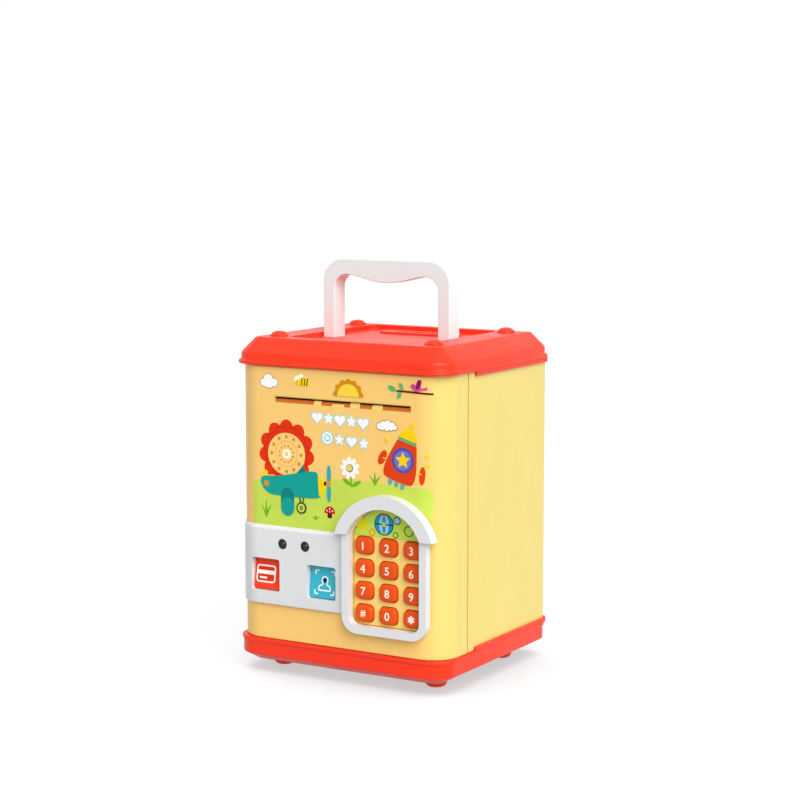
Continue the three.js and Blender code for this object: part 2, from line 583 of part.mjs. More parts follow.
// The panel stands proud of the front and thins out round the door's left corner.
function sensorPanel() {
  const { bottomZ, topZ, rightX, leftBackY, proud, sideProud, sleeve, sleeveBack } = PANEL;
  let body = column(doorOutline(sideProud, DOOR_BACK_Y), bottomZ, topZ)
    .translate([0, sideProud - proud, 0])
    .subtract(column(doorOutline(LABEL.out + TOUCH, THROUGH), bottomZ - OVER, topZ + OVER))
    .intersect(box(-BODY_WIDTH, rightX, FRONT_Y - THROUGH, leftBackY, bottomZ, topZ));
  for (const pocket of POCKETS) {
    body = body
      .add(pocketBox(pocket, sleeve, FRONT_Y - proud / 2, FRONT_Y + sleeveBack))
      .subtract(pocketBox(pocket, 0, FRONT_Y - proud - OVER, FRONT_Y + sleeveBack + OVER));
  }
  for (const x of LENS.xs) {
    body = body.subtract(rodY(x, LENS.z, LENS.r + FIT, FRONT_Y - proud - OVER, FRONT_Y - LENS.seat));
  }
  return body;
}

function sensorLens() {
  const { r, proud, seat } = LENS;
  const depth = PANEL.proud - seat - 2 * TOUCH;
  const profile = [[0, 0], [r, 0], [r, depth], [r * 0.7, depth + proud * 0.75], [0, depth + proud]];
  return turned(profile).rotate([90, 0, 0]);
}

// A wedge-faced key: deep at its top edge and shallow at its bottom edge.
function pocketKey({ x0, x1, z0, z1 }) {
  const face = new THREE.Shape();
  face.moveTo(FRONT_Y + POCKET_KEY.bottomDepth - PANEL.proud, z0 + FIT);
  face.lineTo(FRONT_Y + POCKET_KEY.back, z0 + FIT);
  face.lineTo(FRONT_Y + POCKET_KEY.back, z1 - FIT);
  face.lineTo(FRONT_Y + POCKET_KEY.topDepth - PANEL.proud, z1 - FIT);
  const width = x1 - x0 - 2 * FIT;
  const geometry = new THREE.ExtrudeGeometry(face, { depth: width, bevelEnabled: false });
  // The outline holds (y, z) and is pulled along x.
  const turn = new THREE.Matrix4().makeBasis(
    new THREE.Vector3(0, 1, 0), new THREE.Vector3(0, 0, 1), new THREE.Vector3(1, 0, 0));
  return solid(geometry.applyMatrix4(turn).translate(x0 + FIT, 0, 0));
}

add(doorGroup, "front_label", frontLabel(), cream);
add(doorGroup, "sensor_panel", sensorPanel(), lightGrey);
LENS.xs.forEach((x, index) => {
  add(doorGroup, `sensor_lens_${index + 1}`, sensorLens(), dark, x, FRONT_Y - LENS.seat - TOUCH, LENS.z);
});
POCKETS.forEach((pocket, index) => add(doorGroup, pocket.name, pocketKey(pocket), index ? keyBlue : keyRed));

// ---- Keypad -------------------------------------------------------------------------------------

function keypadBezel() {
  const { springZ, frameUp, frameProud, hoodProud, archOuterR, edge } = KEYPAD;
  const backY = FRONT_Y - LABEL.out - TOUCH;
  const frame = slab(keypadFrame(0, springZ + frameUp), FRONT_Y - frameProud, backY + edge, edge, FRAME_STEPS);
  const hood = slab(keypadArch(archOuterR), FRONT_Y - hoodProud, backY + edge, edge, ARCH_STEPS);
  const behind = box(-BODY_WIDTH, BODY_WIDTH, backY, backY + THROUGH, 0, TRIM.lidTopZ);
  return frame.add(hood).subtract(behind).subtract(keypadWindow(0, FRONT_Y - THROUGH, backY + OVER));
}

const KEY_NAMES = [
  ["key_1", "key_2", "key_3"],
  ["key_4", "key_5", "key_6"],
  ["key_7", "key_8", "key_9"],
  ["key_hash", "key_0", "key_star"],
];

function forEachKey(action) {
  KEY_NAMES.forEach((names, down) => names.forEach((name, across) => {
    action(name, KEY.firstX + across * KEY.pitchX, KEY.firstZ - down * KEY.pitchZ);
  }));
}

function keypadPlate() {
  const backY = PLATE_FRONT_Y + KEYPAD.plateThickness;
  const halfX = KEY.width / 2 + FIT;
  const halfZ = KEY.height / 2 + FIT;
  let body = keypadWindow(0, PLATE_FRONT_Y, backY);
  forEachKey((name, x, z) => {
    body = body.subtract(box(x - halfX, x + halfX, PLATE_FRONT_Y - OVER, backY + OVER, z - halfZ, z + halfZ));
  });
  return body;
}

function archLabel() {
  const { archInnerR, springZ, labelUp, labelThickness } = KEYPAD;
  const y1 = PLATE_FRONT_Y - TOUCH;
  const y0 = y1 - labelThickness;
  return slab(keypadArch(archInnerR - FIT), y0, y1, 0, ARCH_STEPS)
    .subtract(box(-BODY_WIDTH, BODY_WIDTH, y0 - OVER, y1 + OVER, 0, springZ + labelUp));
}

// A key cap at the origin: x and z centred, y counted from the door's front face.
function keyCap() {
  const { width, height, r, proud, edge, flange, flangeThickness } = KEY;
  const halfX = width / 2;
  const halfZ = height / 2;
  const rimX = halfX + flange;
  const rimZ = halfZ + flange;
  const flangeY = KEYPAD.plateDepth + KEYPAD.plateThickness + 2 * TOUCH;
  return slab(roundedRect(-halfX, halfX, -halfZ, halfZ, r), -proud, flangeY + FIT + edge, edge, KEY_STEPS)
    .add(box(-rimX, rimX, flangeY, flangeY + flangeThickness, -rimZ, rimZ));
}

function keypadBoard() {
  const { front, thickness, x0, x1, z0, z1 } = BOARD;
  return box(x0, x1, FRONT_Y + front, FRONT_Y + front + thickness, z0, z1);
}

add(doorGroup, "keypad_bezel", keypadBezel(), lightGrey);
add(doorGroup, "keypad_plate", keypadPlate(), cream);
add(doorGroup, "arch_label", archLabel(), green);
add(doorGroup, "keypad_board", keypadBoard(), boardGreen);
forEachKey((name, x, z) => add(doorGroup, name, keyCap(), keyOrange, x, FRONT_Y, z));

// ---- Speaker ------------------------------------------------------------------------------------

function speaker() {
  const { r, coneR, magnetR, dishR, thickness, magnetDepth, rim, dish } = SPEAKER;
  const cone = [[0, rim], [dishR, dish], [coneR, 0], [r, 0]];
  const magnet = [[r, rim], [magnetR, magnetDepth], [magnetR, thickness], [0, thickness]];
  return turned([...cone, ...magnet]).rotate([-90, 0, 0]);
}

add(doorGroup, "speaker", speaker(), dark, SPEAKER.x, FRONT_Y + WALL + TOUCH, SPEAKER.z);

// ---- Banknote feeder ----------------------------------------------------------------------------

const DRIVE_R = (GEARS.module * GEARS.teeth) / 2;
const PINION_R = (GEARS.module * GEARS.pinionTeeth) / 2;
const IDLER_Z = FEED.shaftZ - 2 * DRIVE_R;
const MOTOR_Z = IDLER_Z - DRIVE_R - PINION_R;

function feedCheek(x0, z0) {
  return box(x0, x0 + CHEEK.thickness, FEED.y - CHEEK.halfY, FEED.y + CHEEK.halfY, z0, FEED.shaftZ + CHEEK.up);
}

function feedHousing() {
  const { y, shaftZ, leftX, rightX, boreR } = FEED;
  const { topZ, thickness, backGap } = NOTE_GUIDE;
  const halfCheek = CHEEK.thickness / 2;
  const guideY = FRONT_Y + WALL + 2 * FIT;
  return box(leftX + halfCheek, rightX - halfCheek, guideY, DOOR_BACK_Y - backGap, topZ - thickness, topZ)
    .add(feedCheek(leftX, topZ - CHEEK.down))
    .add(feedCheek(rightX - CHEEK.thickness, MOTOR_Z - CHEEK.belowMotor))
    .add(rodX(y, IDLER_Z, IDLER.pinR, rightX - halfCheek, rightX + IDLER.pinLength, PIN_STEPS))
    .subtract(rodX(y, shaftZ, boreR, leftX - OVER, rightX + OVER))
    .subtract(rodX(y, MOTOR_Z, MOTOR.cheekBoreR, rightX - CHEEK.thickness - OVER, rightX + OVER, PIN_STEPS));
}

function motor() {
  const { r, length, flat, boreR, boreDepth } = MOTOR;
  const x1 = FEED.rightX - CHEEK.thickness - TOUCH;
  return rodX(FEED.y, MOTOR_Z, r, x1 - length, x1)
    .intersect(box(-BODY_WIDTH, BODY_WIDTH, -BODY_WIDTH, 0, MOTOR_Z - flat, MOTOR_Z + flat))
    .subtract(rodX(FEED.y, MOTOR_Z, boreR, x1 - boreDepth, x1 + OVER, PIN_STEPS));
}

// A spur gear around the X axis, turned by `phase` teeth; a whole-tooth phase points one tooth down.
function gear(teeth, phase, boreR) {
  const { module, tipHeight, rootDepth, toothShare, tipShare, thickness, x } = GEARS;
  const pitchR = (module * teeth) / 2;
  const tipR = pitchR + module * tipHeight;
  const rootR = pitchR - module * rootDepth;
  const step = (2 * Math.PI) / teeth;
  const shape = new THREE.Shape();
  for (let tooth = 0; tooth < teeth; tooth += 1) {
    const middle = (tooth + phase) * step;
    const corners = [[rootR, -toothShare], [tipR, -tipShare], [tipR, tipShare], [rootR, toothShare]];
    corners.forEach(([r, share], index) => {
      const angle = middle + share * step;
      const place = [r * Math.cos(angle), r * Math.sin(angle)];
      if (tooth === 0 && index === 0) shape.moveTo(...place);
      else shape.lineTo(...place);
    });
  }
  const geometry = new THREE.ExtrudeGeometry(shape, { depth: thickness, bevelEnabled: false });
  const wheel = solid(geometry.rotateY(Math.PI / 2).translate(x, 0, 0));
  return boreR > 0 ? wheel.subtract(rodX(0, 0, boreR, x - OVER, x + thickness + OVER, PIN_STEPS)) : wheel;
}

function feedRoller() {
  const { rollerR, rollerLength, boreR } = FEED;
  const half = rollerLength / 2;
  return rodX(0, 0, rollerR, -half, half).subtract(rodX(0, 0, boreR, -half - OVER, half + OVER, PIN_STEPS));
}

add(doorGroup, "feed_housing", feedHousing(), yellow);
add(doorGroup, "feed_motor", motor(), steel);
add(doorGroup, "idler_gear", gear(GEARS.teeth, 0.5, IDLER.pinR + FIT), gearWhite, 0, FEED.y, IDLER_Z);

const gearBackX = GEARS.x + GEARS.thickness;
const pinionShaftX = FEED.rightX - CHEEK.thickness - MOTOR.shaftIn;
const pinionShaft = rodX(0, 0, MOTOR.shaftR, pinionShaftX, gearBackX + MOTOR.shaftOut, PIN_STEPS);
add(doorGroup, "motor_pinion", gear(GEARS.pinionTeeth, 0, 0).add(pinionShaft), gearWhite, 0, FEED.y, MOTOR_Z);

const feedShaft = rodX(0, 0, FEED.shaftR, FEED.leftX - OVER, gearBackX + FEED.shaftOut, PIN_STEPS);
feedGroup.position.set(0, FEED.y, FEED.shaftZ);
add(feedGroup, "feed_shaft", feedShaft, steel);
add(feedGroup, "drive_gear", gear(GEARS.teeth, 0, FEED.boreR), gearWhite);
FEED.rollerXs.forEach((x, index) => add(feedGroup, `feed_roller_${index + 1}`, feedRoller(), rubber, x));

// ---- Door latch ---------------------------------------------------------------------------------

function latchHousing() {
  const { y, z, halfY, halfZ, leftX, rightX, wall, bolt } = LATCH;
  const reach = bolt + FIT;
  return box(leftX, rightX, y - halfY, y + halfY, z - halfZ, z + halfZ)
    .subtract(box(leftX + wall, rightX + OVER, y - reach, y + reach, z - reach, z + reach));
}

function latchBolt() {
  const { y, z, leftX, rightX, wall, bolt, endGap, nose } = LATCH;
  return box(leftX + wall + endGap, rightX + nose, y - bolt, y + bolt, z - bolt, z + bolt);
}

add(doorGroup, "latch_housing", latchHousing(), dark);
add(doorGroup, "latch_bolt", latchBolt(), steel);

export default group;
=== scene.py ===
"""Looks for the toy cash machine money box: fine shells, keys, printed art, materials, light and camera.

Shapes are worked out in millimetres in the frame's own axes and scaled to metres when a mesh is made.
"""
import math

import bmesh
import bpy
from mathutils import Matrix, Vector


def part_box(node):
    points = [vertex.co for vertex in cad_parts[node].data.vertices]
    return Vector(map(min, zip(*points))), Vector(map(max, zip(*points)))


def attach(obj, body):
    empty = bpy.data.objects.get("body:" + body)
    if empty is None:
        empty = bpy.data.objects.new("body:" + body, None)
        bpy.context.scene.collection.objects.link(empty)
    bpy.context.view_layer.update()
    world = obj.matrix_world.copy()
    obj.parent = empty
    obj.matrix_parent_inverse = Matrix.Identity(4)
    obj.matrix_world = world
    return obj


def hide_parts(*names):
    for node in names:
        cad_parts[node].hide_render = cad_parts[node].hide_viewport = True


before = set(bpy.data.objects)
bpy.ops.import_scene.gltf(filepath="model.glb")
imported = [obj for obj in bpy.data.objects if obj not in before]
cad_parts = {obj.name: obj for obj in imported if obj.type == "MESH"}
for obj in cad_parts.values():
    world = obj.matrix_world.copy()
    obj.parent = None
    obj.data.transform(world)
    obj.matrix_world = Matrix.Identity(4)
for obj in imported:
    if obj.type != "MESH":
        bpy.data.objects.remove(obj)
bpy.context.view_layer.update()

MM = 0.001


def box_mm(node):
    low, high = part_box(node)
    return [v / MM for v in (*low, *high)]


# ---- Sizes, from the frame ----------------------------------------------------------------------

_, FRONT, DOOR_Z0, HALF, DOOR_BACK, DOOR_Z1 = box_mm("door_shell")
_, BODY_FRONT, BODY_Z0, _, BACK, BODY_Z1 = box_mm("body_shell")
_, _, LID_SKIRT_Z, LID_X, _, LID_TOP = box_mm("lid")
_, _, BASE_BOTTOM, BASE_X, _, BASE_SKIRT_Z = box_mm("base_tray")
_, PANEL_FRONT, PANEL_Z0, PANEL_X1, _, PANEL_Z1 = box_mm("sensor_panel")
PANEL_BACK = -47.7
LABEL_X0, LABEL_FRONT, LABEL_Z0, LABEL_X1, _, LABEL_Z1 = box_mm("front_label")
HOOD_X0, HOOD_FRONT, KEYPAD_Z0, HOOD_X1, _, HOOD_TOP = box_mm("keypad_bezel")
_, PLATE_FRONT, _, _, PLATE_BACK, _ = box_mm("keypad_plate")
HANDLE_X0, HANDLE_Y0, HANDLE_Z0, HANDLE_X1, HANDLE_Y1, HANDLE_TOP = box_mm("handle")

WALL = 2.4
CORNER_R = 16.5
TURN_X = HALF - CORNER_R
TURN_Y = FRONT + CORNER_R
FIT = 0.3
PIN_BORE_R = 1.7
PIN_IN_CASE = 6.3
PIN_IN_DOOR = 8.5
BOSS_R = 5
HANDLE_LEG = 7.5
HANDLE_STOP = 2
LEG_GAP = 0.4
LABEL_OUT = FRONT - LABEL_FRONT
PANEL_OUT = FRONT - PANEL_FRONT

LID_EDGE = LID_SKIRT_Z + 2.6
LID_RIM = LID_EDGE + 2
LID_WALL = LID_TOP - 8.4
BASE_EDGE = BASE_SKIRT_Z - 2.3
BASE_RIM = BASE_EDGE - 2.1
BASE_WALL = BASE_BOTTOM + 4.6
LID_RIM_OUT = LID_X - HALF
BASE_RIM_OUT = BASE_X - HALF
SKIRT_OUT = 1.1
SKIRT_GAP = 0.2
TRIM_OUT = 0.8
CHAMFER_OUT = -7.6
HOLLOW_OUT = -2.7
RECESS = {"half_x": 42.5, "y0": -42.7, "y1": 49.3, "r": 6, "depth": 2.7}
COIN = {"y": 32.3, "length": 34, "width": 3.4, "pad_length": 52, "pad_width": 12}

PIVOT_X = -HALF + 5.1
PIVOT_Y = DOOR_BACK - 5
NOTE = {"x": 3.2, "length": 87.5, "z": 155.7, "height": 3.2}

KEYPAD_X = 32.7
KEYPAD_HALF = 26.65
SPRING_Z = 85.5
ARCH_X = (HOOD_X0 + HOOD_X1) / 2
ARCH_R = 31.9
ARCH_Z = HOOD_TOP - ARCH_R
ARCH_INNER_R = 24.6
ARCH_SHEET_Z = 84.4
ARCH_SHEET_OUT = 0.3
BAND = 4.3
FRAME_TOP = SPRING_Z + 0.6
POCKET_BACK = FRONT + 7.4


# ---- Outlines and solids ------------------------------------------------------------------------


def arc(cx, cy, r, start, stop, steps):
    """Points on a circle from start to stop, in degrees."""
    angles = [math.radians(start + (stop - start) * i / steps) for i in range(steps + 1)]
    return [(cx + r * math.cos(a), cy + r * math.sin(a)) for a in angles]


def rounded_rect(x0, x1, y0, y1, low_r, high_r=None, steps=10):
    high_r = low_r if high_r is None else high_r
    return (arc(x1 - low_r, y0 + low_r, low_r, -90, 0, steps)
            + arc(x1 - high_r, y1 - high_r, high_r, 0, 90, steps)
            + arc(x0 + high_r, y1 - high_r, high_r, 90, 180, steps)
            + arc(x0 + low_r, y0 + low_r, low_r, 180, 270, steps))


def eased(points, radius, steps=4):
    """The same open polyline with every corner but its two ends rounded."""
    points = [Vector(p) for p in points]
    result = [points[0]]
    for before, here, after in zip(points, points[1:], points[2:]):
        reach_in = min(radius, 0.45 * (before - here).length)
        reach_out = min(radius, 0.45 * (after - here).length)
        start = here + (before - here).normalized() * reach_in
        stop = here + (after - here).normalized() * reach_out
        for i in range(steps + 1):
            t = i / steps
            result.append(start * (1 - t) ** 2 + here * 2 * t * (1 - t) + stop * t ** 2)
    return result + [points[-1]]


def skin_rings(rings):
    """A closed solid through rings of 3-D points, all with the same number of points."""
    bm = bmesh.new()
    loops = [[bm.verts.new(Vector(p) * MM) for p in ring] for ring in rings]
    for low, high in zip(loops, loops[1:]):
        for i in range(len(low)):
            j = (i + 1) % len(low)
            bm.faces.new((low[i], low[j], high[j], high[i]))
    bm.faces.new(loops[0][::-1])
    bm.faces.new(loops[-1])
    bmesh.ops.recalc_face_normals(bm, faces=bm.faces)
    return bm


def column(outline, z0, z1):
    return skin_rings([[(x, y, z) for x, y in outline] for z in (z0, z1)])


def slab(outline, y0, y1):
    """A front-view outline (x, z) pulled from y0 to y1."""
    return skin_rings([[(x, y, z) for x, z in outline] for y in (y0, y1)])


def block(x0, x1, y0, y1, z0, z1):
    return column([(x0, y0), (x1, y0), (x1, y1), (x0, y1)], z0, z1)


def lathe(profile, steps=40):
    """A round solid about +Z through (radius, z) points; the ends are closed flat."""
    return skin_rings([[(x, y, z) for x, y in arc(0, 0, max(r, 0.01), 0, 360 - 360 / steps, steps - 1)]
                       for r, z in profile])


def moved(bm, x=0, y=0, z=0, turn=None):
    if turn is not None:
        bmesh.ops.transform(bm, matrix=turn, verts=bm.verts)
    bmesh.ops.translate(bm, vec=Vector((x, y, z)) * MM, verts=bm.verts)
    return bm


ALONG_X = Matrix.Rotation(math.radians(90), 4, "Y")
FACING_FRONT = Matrix.Rotation(math.radians(90), 4, "X")


def as_object(bm, name):
    mesh = bpy.data.meshes.new(name)
    bm.to_mesh(mesh)
    bm.free()
    piece = bpy.data.objects.new(name, mesh)
    bpy.context.scene.collection.objects.link(piece)
    return piece


def drop(piece):
    mesh = piece.data
    bpy.data.objects.remove(piece)
    if mesh.users == 0:
        bpy.data.meshes.remove(mesh)


def apply_modifiers(piece):
    graph = bpy.context.evaluated_depsgraph_get()
    made = bpy.data.meshes.new_from_object(piece.evaluated_get(graph))
    piece.modifiers.clear()
    piece.data = made


def combine(piece, tool, operation):
    """Joins the tool to the piece or cuts it away, and deletes the tool."""
    other = as_object(tool, "tool")
    boolean = piece.modifiers.new("boolean", "BOOLEAN")
    boolean.operation = operation
    boolean.solver = "EXACT"
    boolean.object = other
    apply_modifiers(piece)
    drop(other)


def cut(piece, *tools):
    for tool in tools:
        combine(piece, tool, "DIFFERENCE")


def join(piece, *tools):
    for tool in tools:
        combine(piece, tool, "UNION")


def smooth(piece, angle=32):
    piece.data.polygons.foreach_set("use_smooth", [True] * len(piece.data.polygons))
    piece.data.set_sharp_from_angle(angle=math.radians(angle))


def soften(piece, width, segments=3, angle=32):
    """Rounds every edge sharper than the angle, by width millimetres."""
    smooth(piece, angle)
    bevel = piece.modifiers.new("soft_edges", "BEVEL")
    bevel.width = width * MM
    bevel.segments = segments
    bevel.limit_method = "ANGLE"
    bevel.angle_limit = math.radians(angle)
    bevel.harden_normals = True
    bevel.miter_outer = "MITER_ARC"


def place(piece, body, slot, material, *nodes):
    """Gives a finished piece its material, its body and the CAD nodes that it stands for; the slot is not
    used.
    """
    for entry in material if isinstance(material, list) else [material]:
        piece.data.materials.append(entry)
    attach(piece, body)
    if nodes:
        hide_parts(*nodes)
    return piece


# ---- Materials ----------------------------------------------------------------------------------


def srgb(r, g, b):
    """A linear colour from an 8-bit one."""
    linear = [v / 255 / 12.92 if v <= 10 else ((v / 255 + 0.055) / 1.055) ** 2.4 for v in (r, g, b)]
    return (*linear, 1)


FRONT_LIGHT = 0.97
SIDE_LIGHT = 1.25
GLOSS = 0.035


def seen(r, g, b, light=FRONT_LIGHT):
    """The paint that shows as this 8-bit colour in this studio's light."""
    return (*[max((v - GLOSS) / light, 0.002) for v in srgb(r, g, b)[:3]], 1)


class Surface:
    """A node material with a Principled shader, and short ways to add textures to it."""

    def __init__(self, name):
        self.material = bpy.data.materials.new(name)
        self.material.use_nodes = True
        self.tree = self.material.node_tree
        self.shader = self.tree.nodes["Principled BSDF"]
        self.place = self.tree.nodes.new("ShaderNodeTexCoord").outputs["Object"]

    def feed(self, socket, value):
        """Links another node's output to the socket, or sets the socket to a constant."""
        if isinstance(value, bpy.types.NodeSocket):
            self.tree.links.new(value, socket)
        else:
            socket.default_value = value

    def node(self, kind, inputs=(), **settings):
        node = self.tree.nodes.new(kind)
        for key, value in settings.items():
            setattr(node, key, value)
        for key, value in dict(inputs).items():
            self.feed(node.inputs[key], value)
        return node

    def noise(self, scale, detail=3.0, roughness=0.55, stretch=(1, 1, 1)):
        mapping = self.node("ShaderNodeMapping", {"Vector": self.place, "Scale": stretch})
        inputs = {"Vector": mapping.outputs[0], "Scale": scale, "Detail": detail, "Roughness": roughness}
        return self.node("ShaderNodeTexNoise", inputs).outputs["Fac"]

    def between(self, factor, low, high, start=0.3, stop=0.7):
        """A number or a colour that runs from low to high as the factor goes from start to stop."""
        if isinstance(low, (int, float)):
            inputs = {"Value": factor, "From Min": start, "From Max": stop, "To Min": low, "To Max": high}
            return self.node("ShaderNodeMapRange", inputs).outputs[0]
        ramp = self.node("ShaderNodeValToRGB", {"Fac": factor})
        ramp.color_ramp.elements[0].position = start
        ramp.color_ramp.elements[0].color = low
        ramp.color_ramp.elements[1].position = stop
        ramp.color_ramp.elements[1].color = high
        return ramp.outputs["Color"]

    def mix(self, factor, first, second, blend="MIX"):
        node = self.node("ShaderNodeMix", data_type="RGBA", blend_type=blend)
        for index, value in ((0, factor), (6, first), (7, second)):
            self.feed(node.inputs[index], value)
        return node.outputs[2]

    def set(self, **inputs):
        """Shader inputs by name, with spaces written as underscores."""
        for key, value in inputs.items():
            self.feed(self.shader.inputs[key.replace("_", " ")], value)

    def bump(self, height, strength, distance_mm):
        inputs = {"Height": height, "Strength": strength, "Distance": distance_mm * MM}
        self.set(Normal=self.node("ShaderNodeBump", inputs).outputs[0])


def shade(color, factor):
    return (*[min(1, c * factor) for c in color[:3]], 1)


def edge_wear(surface, color, lighter, amount):
    """Rubs the colour a little paler where the surface turns sharply."""
    rounded = surface.node("ShaderNodeBevel", {"Radius": 0.5 * MM}, samples=4).outputs[0]
    flat = surface.node("ShaderNodeNewGeometry").outputs["Normal"]
    likeness = surface.node("ShaderNodeVectorMath", {0: rounded, 1: flat}, operation="DOT_PRODUCT")
    mask = surface.between(likeness.outputs["Value"], amount, 0.0, 0.86, 0.98)
    return surface.mix(mask, color, lighter)


def moulded(name, color, roughness=0.3, mottle=0.02, peel=0.14, wear=0.3, sss=0.0, grain_scale=420,
            gloss=0.5):
    """Injection-moulded plastic: faint flow mottling, orange-peel gloss and edges rubbed pale."""
    s = Surface(name)
    flow = s.noise(26, 4, 0.6, (1, 1, 0.55))
    tone = s.between(flow, shade(color, 1 - mottle), shade(color, 1 + mottle))
    rough = s.between(s.noise(60, 5, 0.65), roughness - 0.05, roughness + 0.07)
    s.set(Base_Color=edge_wear(s, tone, shade(color, 1.12), wear), Roughness=rough,
          Specular_IOR_Level=gloss)
    if sss:
        s.set(Subsurface_Weight=sss, Subsurface_Radius=(1.0, 0.6, 0.4), Subsurface_Scale=0.004)
    s.bump(s.noise(grain_scale, 1, 0.4), peel, 0.012)
    return s.material


def printed(name, color, tint=0.04, roughness=0.36, gloss=0.32):
    """Ink on vinyl: even colour with faint banding, and a fine tooth in the gloss."""
    s = Surface(name)
    ink = s.between(s.noise(70, 4, 0.6), shade(color, 1 - tint), shade(color, 1 + tint))
    grain = s.between(s.noise(2600, 1), shade((1, 1, 1), 0.965), (1, 1, 1, 1))
    s.set(Base_Color=s.mix(1.0, ink, grain, "MULTIPLY"),
          Roughness=s.between(s.noise(150, 3), roughness - 0.04, roughness + 0.06), Specular_IOR_Level=gloss)
    s.bump(s.noise(1500, 2), 0.1, 0.03)
    return s.material


def metal(name, color, roughness=0.32, streak=(1, 1, 30)):
    """Plated steel with fine drawing streaks and dull patches."""
    s = Surface(name)
    tone = s.between(s.noise(90, 5), shade(color, 0.82), color)
    rough = s.between(s.noise(300, 3, 0.6, streak), roughness - 0.1, roughness + 0.14)
    s.set(Base_Color=tone, Metallic=1.0, Roughness=rough)
    s.bump(s.noise(1200, 2, 0.5, streak), 0.12, 0.03)
    return s.material


yellow_plastic = moulded("yellow_abs", seen(254, 231, 134, SIDE_LIGHT), 0.34, wear=0.15, gloss=0.42)
red_plastic = moulded("red_abs", seen(252, 72, 52), 0.36, mottle=0.03, gloss=0.35)
grey_plastic = moulded("pale_grey_abs", seen(223, 224, 225), 0.3, mottle=0.01, wear=0)
handle_plastic = moulded("milky_handle", seen(238, 245, 245, 1.08), 0.34, mottle=0.006, wear=0)
key_plastic = moulded("orange_key_abs", seen(226, 94, 34), 0.4, mottle=0.05, gloss=0.22)
# Painted shade: the yellow sill behind the note slot is painted amber-brown, so that the slot's inside reads
# dark.
sill_painted_shade_plastic = moulded("amber_sill_painted_shade", seen(212, 118, 58), 0.4, wear=0)
red_key_plastic = moulded("red_key_abs", seen(238, 76, 52, 0.92), 0.34, mottle=0.03, gloss=0.3)
blue_key_plastic = moulded("blue_key_abs", seen(66, 180, 202), 0.34, mottle=0.03)
black_plastic = moulded("black_abs", srgb(34, 34, 37), 0.5, mottle=0.1, peel=0.6, grain_scale=1500)
lens_plastic = moulded("black_lens", srgb(9, 9, 10), 0.16, mottle=0.1, wear=0.0, peel=0.05)
nylon = moulded("natural_nylon", srgb(238, 232, 212), 0.45, mottle=0.05, sss=0.1)
rubber = moulded("roller_rubber", srgb(52, 50, 50), 0.75, mottle=0.12, peel=0.8, grain_scale=1500)
zinc = metal("zinc_plate", srgb(198, 202, 208))
sleeve = printed("battery_sleeve", srgb(40, 44, 52), 0.1, 0.25)
sleeve_band = printed("battery_band", srgb(196, 122, 60), 0.08, 0.25)
front_print = printed("cream_sheet", seen(252, 207, 125), 0.015)
# Painted light: the keypad sheet is made brighter than its print, so that it looks lit inside the hood's
# shade.
plate_print_lit_for_shade = printed("keypad_sheet_painted_light", seen(253, 206, 120, 0.8), 0.03)


def circuit_board():
    """Green solder mask with fine copper tracks under it and tinned pads."""
    s = Surface("circuit_board")
    bricks = {"Vector": s.place, "Scale": 260, "Color1": (1, 1, 1, 1), "Color2": (0.8, 0.8, 0.8, 1),
              "Mortar": (0, 0, 0, 1)}
    tracks = s.node("ShaderNodeTexBrick", bricks).outputs["Fac"]
    cells = s.node("ShaderNodeTexVoronoi", {"Vector": s.place, "Scale": 240}).outputs["Distance"]
    pads = s.between(cells, 1.0, 0.0, 0.1, 0.16)
    mask = s.mix(tracks, srgb(22, 104, 52), srgb(40, 138, 74))
    s.set(Base_Color=s.mix(pads, mask, srgb(205, 205, 200)), Metallic=pads, Roughness=0.38)
    s.bump(tracks, 0.3, 0.05)
    return s.material


board_material = circuit_board()

INKS = {
    "white": (254, 254, 252), "numeral": (254, 244, 226), "cream": (253, 212, 132),
    "grey": (150, 148, 156), "dark": (52, 44, 42),
    "outline": (150, 120, 112), "sun": (254, 216, 84), "sun_ray": (214, 150, 30), "brown": (104, 54, 26),
    "leaf": (112, 184, 122), "pink": (214, 92, 150), "plum": (150, 34, 108), "sky": (150, 212, 236),
    "red": (230, 72, 42), "deep_red": (204, 50, 34), "teal": (0, 166, 154), "deep_teal": (0, 132, 128),
    "yellow": (254, 214, 26), "blade": (74, 172, 180), "orange": (238, 148, 54), "grass": (202, 224, 98),
    "tuft": (120, 184, 58), "rocket": (226, 82, 42), "purple": (98, 92, 168), "lilac": (128, 124, 196),
    # The arch green is painted brighter than its print: painted light that makes up for the hood's shade on
    # the arch sheet.
    "jet": (112, 172, 172), "arch": (204, 232, 100), "blob": (232, 226, 66), "blue": (46, 166, 204),
    "navy": (32, 66, 112), "ring_green": (70, 118, 66), "ear": (172, 216, 238), "blush": (246, 184, 112),
}
ink = {name: printed("ink_" + name, seen(*rgb), gloss=0.14) for name, rgb in INKS.items()}


# ---- Case: lid, base and body shell -------------------------------------------------------------


def body_ring(out, z):
    """The body's plan outline, grown outwards, as a ring of points at height z."""
    front_r = max(12.2 + out, 0.4)
    back_r = max(8 + out, 0.4)
    outline = rounded_rect(-HALF - out, HALF + out, FRONT - out, BACK + out, front_r, back_r, 12)
    return [(x, y, z) for x, y in outline]


def skirt(z0, z1):
    """The thin band of trim that overlaps the sides and the back of the body."""
    outer = rounded_rect(-HALF - SKIRT_OUT, HALF + SKIRT_OUT, FRONT, BACK + SKIRT_OUT, 2, 5.1)
    inner = rounded_rect(-HALF - SKIRT_GAP, HALF + SKIRT_GAP, FRONT, BACK + SKIRT_GAP, 1, 4.2)
    band = as_object(column(outer, z0, z1), "band")
    cut(band, column(inner, z0 - 1, z1 + 1), block(-80, 80, FRONT - 20, -24.5, z0 - 1, z1 + 1))
    bm = bmesh.new()
    bm.from_mesh(band.data)
    drop(band)
    return bm


